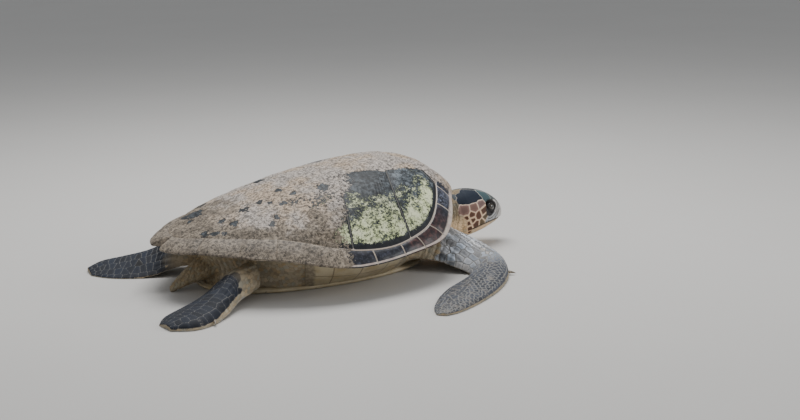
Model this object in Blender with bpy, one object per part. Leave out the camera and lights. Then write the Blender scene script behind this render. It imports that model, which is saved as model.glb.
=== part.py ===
"""Green turtle (Chelonia mydas), an adult female at rest on her plastron, life size.

Metres, +Z up, floor at z = 0, head towards +X, the turtle's left side towards +Y.
The shell is described by s, the distance back from its front edge, and w, the distance
from the midline. A ring angle runs round the shell's rim: 0 at the nuchal, 180 at the tail.
Every flesh piece ends 0.3 mm short of its neighbour.
"""

import math

import bmesh
import bpy
import numpy as np
from mathutils import Vector

# Driving sizes
SHELL_LENGTH = 1.0
SHELL_FRONT_X = 0.5
HALF_WIDTH = 0.393
FRONT_FULLNESS = 0.83  # below 1 the outline is squarer than an ellipse in front
SHOULDER_SWELL = 0.045
TAIL_TAPER = 0.34
RIM_HEIGHT = 0.114
RIM_RISE_FRONT = 0.147
RIM_RISE_REAR = 0.038
RIM_RISE_POWER = 2.3
# Behind the middle the rim also lifts, less so at the tail; the spans are shares of the rear half
RIM_LIFT, LIFT_SPAN = 0.020, (0.05, 0.5)
TAIL_DIP, DIP_SPAN = 0.6, (0.8, 1.0)
PEAK_HEIGHT = 0.356
PEAK_AT = 0.215
RIDGE_FRONT_POWER, RIDGE_REAR_POWER = 2.4, 1.7
DOME_POWER = 2.6
GAP = 0.0003

SCUTE_THICKNESS = 0.008
UNDER_SCUTES = 0.0135  # depth of the trunk's top below the scutes' faces
# The marginal ring's section: how far its seam lies in, and where it is wider, as
# (further in, ring angle where that starts to change, ring angle where it has changed)
SEAM_INSET = 0.014
NUCHAL_INSET = (0.040, 25, 58)
REAR_INSET = (0.034, 70, 120)
RIM_EDGE = 0.007
RIM_OVERHANG, RIM_DROP = 0.010, 0.006
RIM_CROWN = 0.004  # how far the ring's middle stands above a straight line
RING_FOOT = 0.009  # how far the ring's underside reaches in past its seam
FOOT_DROP = 0.004
# The ring flares out and down over the shoulders, and is narrower beside the neck
FLARE_AT, FLARE_REACH = 54, 10
FLARE_OUT, FLARE_DROP = 0.010, 0.020
WAIST_AT, WAIST_REACH, WAIST = 30, 11, 0.014
SLANT, SLANT_FROM, SLANT_FADES = 5, 30, (50, 70)

BRIDGE_THICKNESS = 0.008
BRIDGE_BELLY = 0.010
BRIDGE_TILT = -0.6
PLASTRON_THICKNESS = 0.014
PLASTRON_HALF_LENGTH = 0.3975
PLASTRON_HALF_WIDTH = 0.235
PLASTRON_CENTRE = 0.0275
PLASTRON_POWER = 0.8
PLASTRON_STEP = 6
PLASTRON_LEVELS = ((0.016, 0.0), (0.004, 0.004), (0.0, 0.009), (0.0, PLASTRON_THICKNESS))  # inset, height
BODY_MIDDLE_X = 0.08
# The trunk sinks in behind the limbs, where no bridge closes the shell
TRUNK_CENTRE_S = 0.38
TRUNK_STEP = 7.5
TRUNK_SHARES = (0.18, 0.4, 0.62, 0.8, 0.93, 1.0)
TRUNK_DROPS = (0.0, 0.35, 0.7, 1.0)
TRUNK_INSET = 0.002
TRUNK_CLEARANCE = 0.0016
TRUNK_HOLLOW = 0.045
FRONT_OPENING, REAR_OPENING = (35, 58), (112, 135)
FLOOR_EDGE = 0.004  # blunt thickness of a flipper's edge

NUCHAL_ANGLE = 9
# Ring angle of each seam between two marginal scutes, at its inner end
MARGINAL_SEAMS = (31, 42, 54, 63, 71.5, 83.7, 96, 107.5, 119, 132, 150)
BRIDGE_FROM, BRIDGE_TO = 62, 110

# Corners of the middle row of scutes, as (s, w): the narrow ends and the wide points
NARROWS = ((0.155, 0.085), (0.365, 0.080), (0.560, 0.072), (0.745, 0.054))
WIDES = ((0.262, 0.128), (0.432, 0.125), (0.655, 0.110))
# Ring angles where the seams between costal scutes meet the marginal ring
COSTAL_FEET = (65.7, 91, 117)
LAST_FOOT = 141
RING_STEP = 5  # largest step between ring angles
SEAM_BOWS = (0.012, 0.002, 0.012)  # how far the seams between costals bow towards the tail
FRONT_SEAM_BOW = 0.006

SKIN = ((0.36, 0.33, 0.27), 0.75)
PLATE = ((0.16, 0.17, 0.13), 0.5)
RIM = ((0.13, 0.10, 0.09), 0.45)
CREAM = ((0.62, 0.55, 0.38), 0.6)
EYE = ((0.01, 0.01, 0.012), 0.1)
HORN = ((0.30, 0.28, 0.22), 0.4)


# ---------------------------------------------------------------- helpers

def clear_scene():
    for old in list(bpy.data.objects):
        bpy.data.objects.remove(old, do_unlink=True)


def material(name, look):
    colour, roughness = look
    made = bpy.data.materials.get(name)
    if made is None:
        made = bpy.data.materials.new(name)
        made.use_nodes = True
        shader = made.node_tree.nodes["Principled BSDF"]
        shader.inputs["Base Color"].default_value = (*colour, 1)
        shader.inputs["Roughness"].default_value = roughness
        made.diffuse_color = (*colour, 1)
    return made


def smooth_step(x, low, high):
    t = min(max((x - low) / (high - low), 0.0), 1.0)
    return t * t * (3 - 2 * t)


def track(stations, at):
    """Reads a smooth curve through (place, value, value, ...) stations at one place."""
    rows = np.array(stations, float)
    place, values = rows[:, 0], rows[:, 1:]
    slope = np.gradient(values, place, axis=0)
    k = int(np.clip(np.searchsorted(place, at) - 1, 0, len(place) - 2))
    span = place[k + 1] - place[k]
    t = min(max((at - place[k]) / span, 0.0), 1.0)
    a, b = values[k], values[k + 1]
    return (
        (2 * t**3 - 3 * t**2 + 1) * a
        + (t**3 - 2 * t**2 + t) * span * slope[k]
        + (3 * t**2 - 2 * t**3) * b
        + (t**3 - t**2) * span * slope[k + 1]
    )


def add_object(name, mesh, look, parent):
    made = bpy.data.objects.new(name, mesh)
    turtle.objects.link(made)
    made.parent = parent
    mesh.materials.append(material(name + "_finish", look))
    mesh.shade_smooth()
    mesh.set_sharp_from_angle(angle=math.radians(40))
    return made


def finish_mesh(bm, name):
    """Faces become triangles here, so that a piece and its swollen copy fold alike."""
    bmesh.ops.remove_doubles(bm, verts=bm.verts, dist=1e-6)
    bmesh.ops.triangulate(bm, faces=bm.faces)
    bmesh.ops.recalc_face_normals(bm, faces=bm.faces)
    mesh = bpy.data.meshes.new(name)
    bm.to_mesh(mesh)
    bm.free()
    return mesh


def loft(name, rings, look, parent):
    """A solid through rings of equally many points, closed by a face at each end."""
    bm = bmesh.new()
    rows = [[bm.verts.new(point) for point in ring] for ring in rings]
    for near, far in zip(rows, rows[1:]):
        for i in range(len(near)):
            j = (i + 1) % len(near)
            bm.faces.new((near[i], near[j], far[j], far[i]))
    bm.faces.new(rows[0])
    bm.faces.new(rows[-1])
    return add_object(name, finish_mesh(bm, name), look, parent)


def cutter_from(source):
    """A copy of a piece, swollen by the gap, for cutting its neighbour back."""
    seen = source.evaluated_get(bpy.context.evaluated_depsgraph_get())
    mesh = bpy.data.meshes.new_from_object(seen)
    bm = bmesh.new()
    bm.from_mesh(mesh)
    bm.normal_update()
    moves = [(v, v.normal * GAP) for v in bm.verts]
    for v, move in moves:
        v.co += move
    bm.to_mesh(mesh)
    bm.free()
    cutter = bpy.data.objects.new(source.name + "_cutter", mesh)
    cutters.objects.link(cutter)
    cutter.parent = source.parent
    cutter.hide_render = True
    cutter.display_type = "WIRE"
    return cutter


def cut(piece, *tools):
    for tool in tools:
        trim = piece.modifiers.new("cut by " + tool.name, "BOOLEAN")
        trim.operation = "DIFFERENCE"
        trim.solver = "EXACT"
        trim.object = tool


# ---------------------------------------------------------------- shell surface

def outline(angle):
    """The shell's plan outline at a ring angle, as (s, w)."""
    c, turn = math.cos(angle), math.sin(angle)
    taper = TAIL_TAPER * c * c if c < 0 else 0.0
    w = HALF_WIDTH * abs(turn) ** FRONT_FULLNESS * (1 + SHOULDER_SWELL * c - taper)
    return 0.5 * (1 - c) * SHELL_LENGTH, math.copysign(w, turn)


def rim_height(s):
    c = 1 - 2 * s
    rise = RIM_RISE_FRONT * max(c, 0) ** RIM_RISE_POWER
    lift = RIM_LIFT * smooth_step(-c, *LIFT_SPAN) * (1 - TAIL_DIP * smooth_step(-c, *DIP_SPAN))
    return RIM_HEIGHT + rise + RIM_RISE_REAR * max(-c, 0) + lift


def ridge_height(s):
    if s < PEAK_AT:
        ahead = 1 - max(s, 0) / PEAK_AT
        return PEAK_HEIGHT - (PEAK_HEIGHT - rim_height(0)) * ahead**RIDGE_FRONT_POWER
    back = min((s - PEAK_AT) / (1 - PEAK_AT), 1)
    return PEAK_HEIGHT - (PEAK_HEIGHT - rim_height(1)) * back**RIDGE_REAR_POWER


def dome_height(s, w):
    half = outline(math.acos(min(max(1 - 2 * s, -1), 1)))[1]
    t = min(abs(w) / max(half, 1e-6), 1)
    return rim_height(s) + (ridge_height(s) - rim_height(s)) * (1 - t**DOME_POWER)


def dome_point(s, w, depth=0.0):
    step = 0.004
    ahead, behind = dome_height(s - step, w), dome_height(s + step, w)
    left, right = dome_height(s, w + step), dome_height(s, w - step)
    normal = Vector(((behind - ahead), (right - left), 2 * step)).normalized()
    return Vector((SHELL_FRONT_X - s, w, dome_height(s, w))) - normal * depth


def ring_point(angle, inset):
    """A point inside the outline by an inset, square to it in plan, as (s, w)."""
    s, w = outline(angle)
    ahead, behind = outline(angle - 0.01), outline(angle + 0.01)
    along = Vector((behind[0] - ahead[0], behind[1] - ahead[1])).normalized()
    return s + along.y * inset, w - along.x * inset


def seam_inset(degrees):
    front, *front_span = NUCHAL_INSET
    rear, *rear_span = REAR_INSET
    a = abs(degrees)
    return SEAM_INSET + front * (1 - smooth_step(a, *front_span)) + rear * smooth_step(a, *rear_span)


def bump(degrees, middle, reach):
    return math.exp(-(((abs(degrees) - middle) / reach) ** 2))


def seam_slant(degrees):
    """How far the outer end of a marginal seam leans forward of its inner end."""
    a = abs(degrees)
    return SLANT * (1 - smooth_step(a, *SLANT_FADES)) * min(a / SLANT_FROM, 1)


def inner_seam(degrees):
    return ring_point(math.radians(degrees), seam_inset(degrees))


def rim_section(degrees):
    """Corners of the marginal ring's section: seam, middle, edge, lower edge, underside."""
    inner = inner_seam(degrees)
    lean = degrees - math.copysign(seam_slant(degrees), degrees)
    flare = bump(degrees, FLARE_AT, FLARE_REACH)
    overhang = RIM_OVERHANG + FLARE_OUT * flare - WAIST * bump(degrees, WAIST_AT, WAIST_REACH)
    edge = ring_point(math.radians(lean), -overhang)
    edge_height = rim_height(outline(math.radians(lean))[0]) - RIM_DROP - FLARE_DROP * flare
    under = ring_point(math.radians(degrees), seam_inset(degrees) + RING_FOOT)
    seam = dome_point(*inner)
    tip = Vector((SHELL_FRONT_X - edge[0], edge[1], edge_height))
    middle = (seam + tip) / 2 + Vector((0, 0, RIM_CROWN))
    foot = Vector((SHELL_FRONT_X - under[0], under[1], edge_height - FOOT_DROP))
    return [seam, middle, tip, tip - Vector((0, 0, RIM_EDGE)), foot]


def plastron_point(degrees, inset, height):
    a = math.radians(degrees)
    along = PLASTRON_CENTRE + (PLASTRON_HALF_LENGTH - inset) * math.cos(a)
    side = (PLASTRON_HALF_WIDTH - inset) * abs(math.sin(a)) ** PLASTRON_POWER
    return Vector((along, math.copysign(side, math.sin(a)), height))


def inward_from(point):
    """The level direction from a point at the shell's side towards the body's middle."""
    return Vector((BODY_MIDDLE_X - point.x, -point.y, 0)).normalized()


# ---------------------------------------------------------------- shell pieces

def inset_outline(points, gap):
    """Moves a closed outline in by a gap, square to its sides."""
    area = sum(a[0] * b[1] - b[0] * a[1] for a, b in zip(points, points[1:] + points[:1]))
    side = math.copysign(gap, area)
    moved = []
    for k, point in enumerate(points):
        before = Vector(points[k - 1]) - Vector(point)
        after = Vector(points[(k + 1) % len(points)]) - Vector(point)
        first = Vector((before.y, -before.x)).normalized()
        second = Vector((-after.y, after.x)).normalized()
        bisector = first + second
        moved.append(Vector(point) + bisector * side / max(bisector.dot(second), 0.4))
    return [(p.x, p.y) for p in moved]


def scute(name, points, parent, cell=0.06):
    """A plate of the shell over an outline in (s, w), on a grid of cells."""
    bm = bmesh.new()
    corners = inset_outline(points, GAP)
    bm.faces.new([bm.verts.new((s, w, 0)) for s, w in corners])
    for axis in range(2):
        low = min(p[axis] for p in corners)
        high = max(p[axis] for p in corners)
        count = max(round((high - low) / cell), 1)
        for k in range(1, count):
            place, normal = Vector((0, 0, 0)), Vector((0, 0, 0))
            place[axis] = low + (high - low) * k / count
            normal[axis] = 1
            bmesh.ops.bisect_plane(
                bm, geom=bm.verts[:] + bm.edges[:] + bm.faces[:],
                plane_co=place, plane_no=normal, dist=1e-5,
            )
    bmesh.ops.dissolve_degenerate(bm, dist=1e-5, edges=bm.edges)
    plan = {v: (v.co.x, v.co.y) for v in bm.verts}
    tops = bm.faces[:]
    made = bmesh.ops.extrude_face_region(bm, geom=tops, use_keep_orig=True)
    raised = [v for v in made["geom"] if isinstance(v, bmesh.types.BMVert)]
    for v in raised:
        v.co = dome_point(v.co.x, v.co.y)
    for v, (s, w) in plan.items():
        v.co = dome_point(s, w, SCUTE_THICKNESS)
    return add_object(name, finish_mesh(bm, name), PLATE, parent)


def seam(start, end, count=3, bow=0.0):
    """Points after the start and before the end of a seam that bows towards the tail."""
    points = []
    for k in range(1, count):
        t = k / count
        s = start[0] + (end[0] - start[0]) * t + bow * math.sin(math.pi * t)
        points.append((s, start[1] + (end[1] - start[1]) * t))
    return points


def ring_stops(first, last):
    """Ring angles between two others, shared by all pieces that meet at the ring's seam."""
    marks = sorted((0, NUCHAL_ANGLE, *MARGINAL_SEAMS, *COSTAL_FEET, LAST_FOOT, 180))
    stops = []
    for near, far in zip(marks, marks[1:]):
        count = math.ceil((far - near) / RING_STEP)
        stops += [near + (far - near) * k / count for k in range(count)]
    return [a for a in (*stops, 180) if first <= a <= last]


def along_ring(first, last, side):
    """The marginal ring's inner seam between two ring angles, ends included."""
    return [inner_seam(side * a) for a in ring_stops(first, last)]


def mirrored(points):
    return [(s, -w) for s, w in reversed(points)]


def vertebral_scutes(parent):
    first, last = NARROWS[0], NARROWS[-1]
    front = along_ring(0, MARGINAL_SEAMS[0], 1)
    half = front + seam(front[-1], first, bow=FRONT_SEAM_BOW) + [first]
    scute("vertebral_scute_1", half + mirrored(half)[:-1], parent)
    for k, wide in enumerate(WIDES):
        near, far = NARROWS[k], NARROWS[k + 1]
        half = [near] + seam(near, wide) + [wide] + seam(wide, far) + [far]
        scute(f"vertebral_scute_{k + 2}", half + mirrored(half), parent)
    rear = along_ring(LAST_FOOT, 180, 1)
    half = [last] + seam(last, rear[0]) + rear
    scute("vertebral_scute_5", half + mirrored(half)[1:], parent)


def costal_scutes(side_name, side, parent):
    narrow = [(s, side * w) for s, w in NARROWS]
    wide = [(s, side * w) for s, w in WIDES]
    feet = (MARGINAL_SEAMS[0], *COSTAL_FEET, LAST_FOOT)
    for k in range(4):
        ring = along_ring(feet[k], feet[k + 1], side)
        points = list(ring)
        if k < 3:
            points += seam(ring[-1], wide[k], 4, SEAM_BOWS[k]) + [wide[k]]
            points += seam(wide[k], narrow[k])
        else:
            points += seam(ring[-1], narrow[3])
        points.append(narrow[k])
        if k > 0:
            points += seam(narrow[k], wide[k - 1]) + [wide[k - 1]]
            points += seam(wide[k - 1], ring[0], 4, SEAM_BOWS[k - 1])
        else:
            points += seam(narrow[0], ring[0], bow=FRONT_SEAM_BOW)
        scute(f"costal_scute_{side_name}_{k + 1}", points, parent)


def marginal_pieces(parent):
    half_gap = math.degrees(GAP / HALF_WIDTH)
    side_stops = ring_stops(NUCHAL_ANGLE, 180)
    side_stops[0] += half_gap
    side_stops[-1] -= half_gap
    front_stops = ring_stops(0, NUCHAL_ANGLE)
    front_stops[-1] -= half_gap
    spans = {
        "nuchal_scute": [-a for a in front_stops[:0:-1]] + front_stops,
        "marginal_rim_left": side_stops,
        "marginal_rim_right": [-a for a in side_stops],
    }
    for name, angles in spans.items():
        loft(name, [rim_section(a) for a in angles], RIM, parent)


def signed_angles(step):
    """Ring angles all the way round, from -180 to 180, starting at the front."""
    return [d if d <= 180 else d - 360 for d in np.arange(0, 360, step)]


def trunk_rings():
    """Rings of the flesh between the shells, from the top of the dome to the plastron."""
    degrees = signed_angles(TRUNK_STEP)
    centre = Vector((TRUNK_CENTRE_S, 0.0))
    rings = []
    for share in TRUNK_SHARES:
        ring = []
        for d in degrees:
            s, w = ring_point(math.radians(d), seam_inset(d) + TRUNK_INSET)
            plan = centre + (Vector((s, w)) - centre) * share
            ring.append(dome_point(plan.x, plan.y, UNDER_SCUTES))
        rings.append(ring)
    for drop in TRUNK_DROPS:
        ring = []
        for d in degrees:
            base = plastron_point(d, 0.0, PLASTRON_THICKNESS + GAP)
            point = rim_section(d)[4].lerp(base, drop)
            closed = smooth_step(abs(d), *FRONT_OPENING) * (1 - smooth_step(abs(d), *REAR_OPENING))
            hollow = TRUNK_HOLLOW * (1 - closed) * math.sin(math.pi * drop) ** 0.5
            ring.append(point + inward_from(point) * (BRIDGE_THICKNESS + TRUNK_CLEARANCE + hollow))
        rings.append(ring)
    return rings


def bridge(name, side, parent):
    """The side of the shell that ties the plastron to the marginal ring."""
    rings = []
    outward = Vector((0, side, BRIDGE_TILT)).normalized()
    for d in np.linspace(BRIDGE_FROM, BRIDGE_TO, 13) * side:
        foot = rim_section(d)[4]
        base = plastron_point(d, 0.0, PLASTRON_THICKNESS + GAP)
        inward = inward_from(foot)
        top = foot + inward * 2 * GAP
        belly = top.lerp(base, 0.5) + outward * BRIDGE_BELLY
        inner_belly = belly + inward * BRIDGE_THICKNESS
        top_inner = top + inward * BRIDGE_THICKNESS
        rings.append([top, belly, base, base + inward * BRIDGE_THICKNESS, inner_belly, top_inner])
    return loft(name, rings, CREAM, parent)


def plastron(parent):
    angles = signed_angles(PLASTRON_STEP)
    rings = [[plastron_point(d, inset, z) for d in angles] for inset, z in PLASTRON_LEVELS]
    return loft("plastron", rings, CREAM, parent)


# ---------------------------------------------------------------- head and neck

SNOUT_X = 0.777
HEAD_LENGTH = 0.203
NECK_X = SNOUT_X - HEAD_LENGTH
# Distance back from the snout: half width, lowest, widest and highest level
HEAD_STATIONS = (
    (0.000, 0.008, 0.096, 0.103, 0.110),
    (0.005, 0.018, 0.084, 0.104, 0.122),
    (0.014, 0.028, 0.074, 0.106, 0.137),
    (0.028, 0.037, 0.067, 0.108, 0.152),
    (0.046, 0.045, 0.061, 0.111, 0.166),
    (0.068, 0.053, 0.054, 0.114, 0.179),
    (0.093, 0.061, 0.046, 0.117, 0.189),
    (0.126, 0.069, 0.038, 0.118, 0.196),
    (0.163, 0.073, 0.032, 0.118, 0.199),
    (0.188, 0.071, 0.032, 0.118, 0.197),
    (0.203, 0.067, 0.035, 0.117, 0.193),
)
# Along X: half width, lowest, widest and highest level
NECK_STATIONS = (
    (0.330, 0.118, 0.040, 0.120, 0.190),
    (0.400, 0.111, 0.036, 0.118, 0.202),
    (0.460, 0.097, 0.034, 0.116, 0.203),
    (0.520, 0.080, 0.032, 0.115, 0.199),
    (0.574, 0.067, 0.034, 0.116, 0.191),
)
SECTION_POWER = 2.3  # 2 gives an ellipse, more a squarer section
JAW_REAR_X = 0.607
MOUTH_LEVEL = 0.077
CUT_FROM_X, CUT_TO_X, CUT_HALF_WIDTH, CUT_TOP = 0.5, 0.9, 0.1, 0.3
EYE_PLACE = (0.703, 0.0385, 0.133)
EYE_RADIUS = 0.0195


def oval(x, half, low, middle, high, power=SECTION_POWER, count=22):
    """A section across X: a superellipse with its own height above and below the widest level."""
    ring = []
    for k in range(count):
        a = 2 * math.pi * k / count
        c, u = math.cos(a), math.sin(a)
        y = half * math.copysign(abs(c) ** (2 / power), c)
        reach = (high - middle) if u > 0 else (middle - low)
        z = middle + reach * math.copysign(abs(u) ** (2 / power), u)
        ring.append(Vector((x, y, z)))
    return ring


def head_solid(name, look, parent):
    places = [HEAD_LENGTH * (k / 12) ** 1.5 for k in range(13)]
    rings = [oval(SNOUT_X - d, *track(HEAD_STATIONS, d)) for d in places]
    return loft(name, rings, look, parent)


def box_cutter(name, low, high, parent):
    bm = bmesh.new()
    bmesh.ops.create_cube(bm, size=1)
    for v in bm.verts:
        v.co = Vector([low[i] if v.co[i] < 0 else high[i] for i in range(3)])
    mesh = bpy.data.meshes.new(name)
    bm.to_mesh(mesh)
    bm.free()
    made = bpy.data.objects.new(name, mesh)
    cutters.objects.link(made)
    made.parent = parent
    made.hide_render = True
    made.display_type = "WIRE"
    return made


def head_and_neck(parent, trunk_cutter):
    neck_rings = [
        oval(x, *track(NECK_STATIONS, x)) for x in np.linspace(0.330, NECK_X - GAP, 10)
    ]
    neck = loft("neck", neck_rings, SKIN, parent)
    cut(neck, trunk_cutter)

    head = head_solid("head", SKIN, parent)
    jaw = head_solid("lower_jaw", CREAM, parent)
    half = CUT_HALF_WIDTH
    mouth = box_cutter("mouth_cutter", (JAW_REAR_X, -half, 0), (CUT_TO_X, half, MOUTH_LEVEL), parent)
    skull = box_cutter(
        "skull_cutter", (CUT_FROM_X, -half, MOUTH_LEVEL - GAP), (CUT_TO_X, half, CUT_TOP), parent
    )
    throat = box_cutter(
        "throat_cutter", (CUT_FROM_X, -half, 0), (JAW_REAR_X + GAP, half, MOUTH_LEVEL), parent
    )
    cut(head, mouth)
    cut(jaw, skull, throat)

    for side_name, side in (("left", 1), ("right", -1)):
        bm = bmesh.new()
        bmesh.ops.create_uvsphere(bm, u_segments=14, v_segments=9, radius=EYE_RADIUS)
        mesh = bpy.data.meshes.new("eye_" + side_name)
        bm.to_mesh(mesh)
        bm.free()
        eye = add_object("eye_" + side_name, mesh, EYE, parent)
        eye.location = (EYE_PLACE[0], side * EYE_PLACE[1], EYE_PLACE[2])
        bpy.context.view_layer.update()
        socket = cutter_from(eye)
        socket.location = eye.location
        cut(head, socket)


# ---------------------------------------------------------------- flippers and tail

# Leading edge x, y, trailing edge x, y, underside and top level, from shoulder to tip
FRONT_FLIPPER = (
    (0.0, 0.360, 0.120, 0.230, 0.210, 0.045, 0.130),
    (1.0, 0.475, 0.122, 0.335, 0.250, 0.040, 0.128),
    (2.0, 0.545, 0.165, 0.395, 0.315, 0.018, 0.095),
    (3.0, 0.582, 0.235, 0.420, 0.352, 0.003, 0.068),
    (4.0, 0.575, 0.330, 0.397, 0.380, 0.000, 0.054),
    (5.0, 0.510, 0.445, 0.350, 0.408, 0.000, 0.044),
    (6.0, 0.410, 0.545, 0.272, 0.455, 0.000, 0.036),
    (7.0, 0.290, 0.625, 0.190, 0.530, 0.000, 0.028),
    (8.0, 0.175, 0.678, 0.122, 0.618, 0.000, 0.019),
    (8.6, 0.128, 0.684, 0.104, 0.662, 0.000, 0.012),
)
HIND_FLIPPER = (
    (0.0, -0.250, 0.235, -0.270, 0.100, 0.040, 0.120),
    (1.0, -0.345, 0.285, -0.375, 0.155, 0.030, 0.105),
    (2.0, -0.415, 0.345, -0.450, 0.175, 0.008, 0.066),
    (3.0, -0.490, 0.400, -0.530, 0.210, 0.000, 0.042),
    (4.0, -0.560, 0.412, -0.592, 0.262, 0.000, 0.029),
    (4.7, -0.612, 0.385, -0.622, 0.312, 0.000, 0.016),
)
# Along X: half width, lowest, widest and highest level
TAIL_STATIONS = (
    (-0.320, 0.062, 0.030, 0.063, 0.114),
    (-0.376, 0.047, 0.022, 0.050, 0.090),
    (-0.416, 0.032, 0.012, 0.034, 0.062),
    (-0.448, 0.019, 0.003, 0.017, 0.037),
    (-0.468, 0.009, 0.000, 0.008, 0.018),
)
TAIL_POWER = 2.0
# Middle, pointing direction, length and root radius of each claw, on the left side
CLAWS = {
    "front": ((0.536, 0.419, 0.0085), (0.75, 0.55, 0.0), 0.034, 0.0075),
    "hind": ((-0.482, 0.398, 0.0105), (-0.3, 0.9, 0.0), 0.032, 0.0065),
}
CLAW_TIP_RADIUS = 0.0012


def blade_ring(row, side, count=9):
    """A flipper's section: a flat underside, and a back that is thickest near the leading edge."""
    lead_x, lead_y, trail_x, trail_y, low, high = row
    lead = Vector((lead_x, side * lead_y))
    trail = Vector((trail_x, side * trail_y))
    low = max(low, 0.0)
    thick = max(high - low - FLOOR_EDGE, 0.003)
    top, bottom = [], []
    for k in range(count):
        u = (1 - math.cos(math.pi * k / (count - 1))) / 2
        plan = lead.lerp(trail, u)
        swell = 2.6 * math.sqrt(u) * (1 - u)
        belly = 0.35 * low * swell
        top.append(Vector((plan.x, plan.y, low + FLOOR_EDGE + thick * swell)))
        bottom.append(Vector((plan.x, plan.y, low - belly)))
    return top + bottom[::-1]


def flipper(name, stations, side, rows, parent):
    last = stations[-1][0]
    places = [last * k / (rows - 1) for k in range(rows)]
    rings = [blade_ring(track(stations, p), side) for p in places]
    return loft(name, rings, SKIN, parent)


def claw(kind, side_name, side, parent, tool):
    """A short horny cone on a flipper's leading edge, lying just over the floor."""
    place, direction, length, radius = CLAWS[kind]
    bm = bmesh.new()
    bmesh.ops.create_cone(
        bm, cap_ends=True, segments=12, radius1=radius, radius2=CLAW_TIP_RADIUS, depth=length
    )
    name = f"{kind}_claw_{side_name}"
    mesh = bpy.data.meshes.new(name)
    bm.to_mesh(mesh)
    bm.free()
    mirror = Vector((1, side, 1))
    made = add_object(name, mesh, HORN, parent)
    made.location = Vector(place) * mirror
    made.rotation_euler = (Vector(direction) * mirror).to_track_quat("Z", "Y").to_euler()
    cut(made, tool)


def limbs(parent, trunk_cutter):
    for side_name, side in (("left", 1), ("right", -1)):
        arm = flipper("front_flipper_" + side_name, FRONT_FLIPPER, side, 20, parent)
        leg = flipper("hind_flipper_" + side_name, HIND_FLIPPER, side, 14, parent)
        cut(arm, trunk_cutter)
        cut(leg, trunk_cutter)
        bpy.context.view_layer.update()
        claw("front", side_name, side, parent, cutter_from(arm))
        claw("hind", side_name, side, parent, cutter_from(leg))
    rings = [oval(x, *track(TAIL_STATIONS[::-1], x), TAIL_POWER, 20)
             for x in np.linspace(TAIL_STATIONS[-1][0], TAIL_STATIONS[0][0], 9)]
    tail = loft("tail", rings, SKIN, parent)
    cut(tail, trunk_cutter)


# ---------------------------------------------------------------- placing on the floor

def centre_over_floor(parent):
    """Puts the middle of the turtle's box over the origin."""
    bpy.context.view_layer.update()
    seen = bpy.context.evaluated_depsgraph_get()
    corners = [
        piece.matrix_world @ Vector(corner)
        for piece in turtle.objects if piece.type == "MESH"
        for corner in piece.evaluated_get(seen).bound_box
    ]
    for axis in range(2):
        values = [corner[axis] for corner in corners]
        parent.location[axis] = -(min(values) + max(values)) / 2
    parent.location.z = -min(corner.z for corner in corners)


# ---------------------------------------------------------------- assembly

clear_scene()
turtle = bpy.data.collections.new("green_turtle")
cutters = bpy.data.collections.new("cutters")
for group in (turtle, cutters):
    bpy.context.scene.collection.children.link(group)

root = bpy.data.objects.new("green_turtle_root", None)
turtle.objects.link(root)

vertebral_scutes(root)
costal_scutes("left", 1, root)
costal_scutes("right", -1, root)
marginal_pieces(root)
plastron(root)
bridge("bridge_left", 1, root)
bridge("bridge_right", -1, root)

trunk = loft("trunk", trunk_rings(), SKIN, root)
bpy.context.view_layer.update()
trunk_tool = cutter_from(trunk)
head_and_neck(root, trunk_tool)
limbs(root, trunk_tool)
centre_over_floor(root)
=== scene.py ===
import math

import bmesh
import bpy
import numpy as np
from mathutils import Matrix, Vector, kdtree


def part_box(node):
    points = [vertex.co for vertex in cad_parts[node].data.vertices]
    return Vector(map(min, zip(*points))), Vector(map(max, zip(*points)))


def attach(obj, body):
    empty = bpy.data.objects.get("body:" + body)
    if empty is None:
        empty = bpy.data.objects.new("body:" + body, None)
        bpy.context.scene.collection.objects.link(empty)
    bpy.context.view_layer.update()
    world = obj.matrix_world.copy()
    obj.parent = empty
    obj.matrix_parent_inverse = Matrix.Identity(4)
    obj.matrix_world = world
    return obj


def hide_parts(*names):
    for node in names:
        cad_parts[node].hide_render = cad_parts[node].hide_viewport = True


# An adult female green turtle at rest: shell plates, one skin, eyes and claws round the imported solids.
# s runs back from the shell's front edge, w runs out from the midline, both in metres.
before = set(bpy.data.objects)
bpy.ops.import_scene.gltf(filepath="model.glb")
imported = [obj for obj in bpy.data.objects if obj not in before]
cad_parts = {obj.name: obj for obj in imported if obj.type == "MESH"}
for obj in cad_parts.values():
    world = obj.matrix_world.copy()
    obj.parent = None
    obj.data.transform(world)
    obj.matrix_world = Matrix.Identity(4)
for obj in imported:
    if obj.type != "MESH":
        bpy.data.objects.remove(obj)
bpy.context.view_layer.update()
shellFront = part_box("nuchal_scute")[1].x - 0.010
shift = shellFront - 0.5  # from the places written below to places in the frame
chance = np.random.default_rng(11)
sides = {"left": 1, "right": -1}
print("frame loaded, shell front at", round(shellFront, 4))


def ease(x, low, high):
    t = np.clip((x - low) / (high - low), 0, 1)
    return t * t * (3 - 2 * t)


def span(x, low, full, fading, gone):
    # 1 between full and fading, 0 outside low and gone
    return ease(x, low, full) * (1 - ease(x, fading, gone))


def hump(x, middle, half, power=2):
    return np.exp(-(((x - middle) / half) ** power))


def triple(x, y, z):
    return np.stack(np.broadcast_arrays(x, y, z), axis=-1)


def unit(v):
    return v / np.maximum(np.linalg.norm(v, axis=-1, keepdims=True), 1e-9)


def tinted(base, tint, share):
    # colours taken towards a tint, by a share for each point
    return base * (1 - share[:, None]) + np.asarray(tint) * share[:, None]


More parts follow.
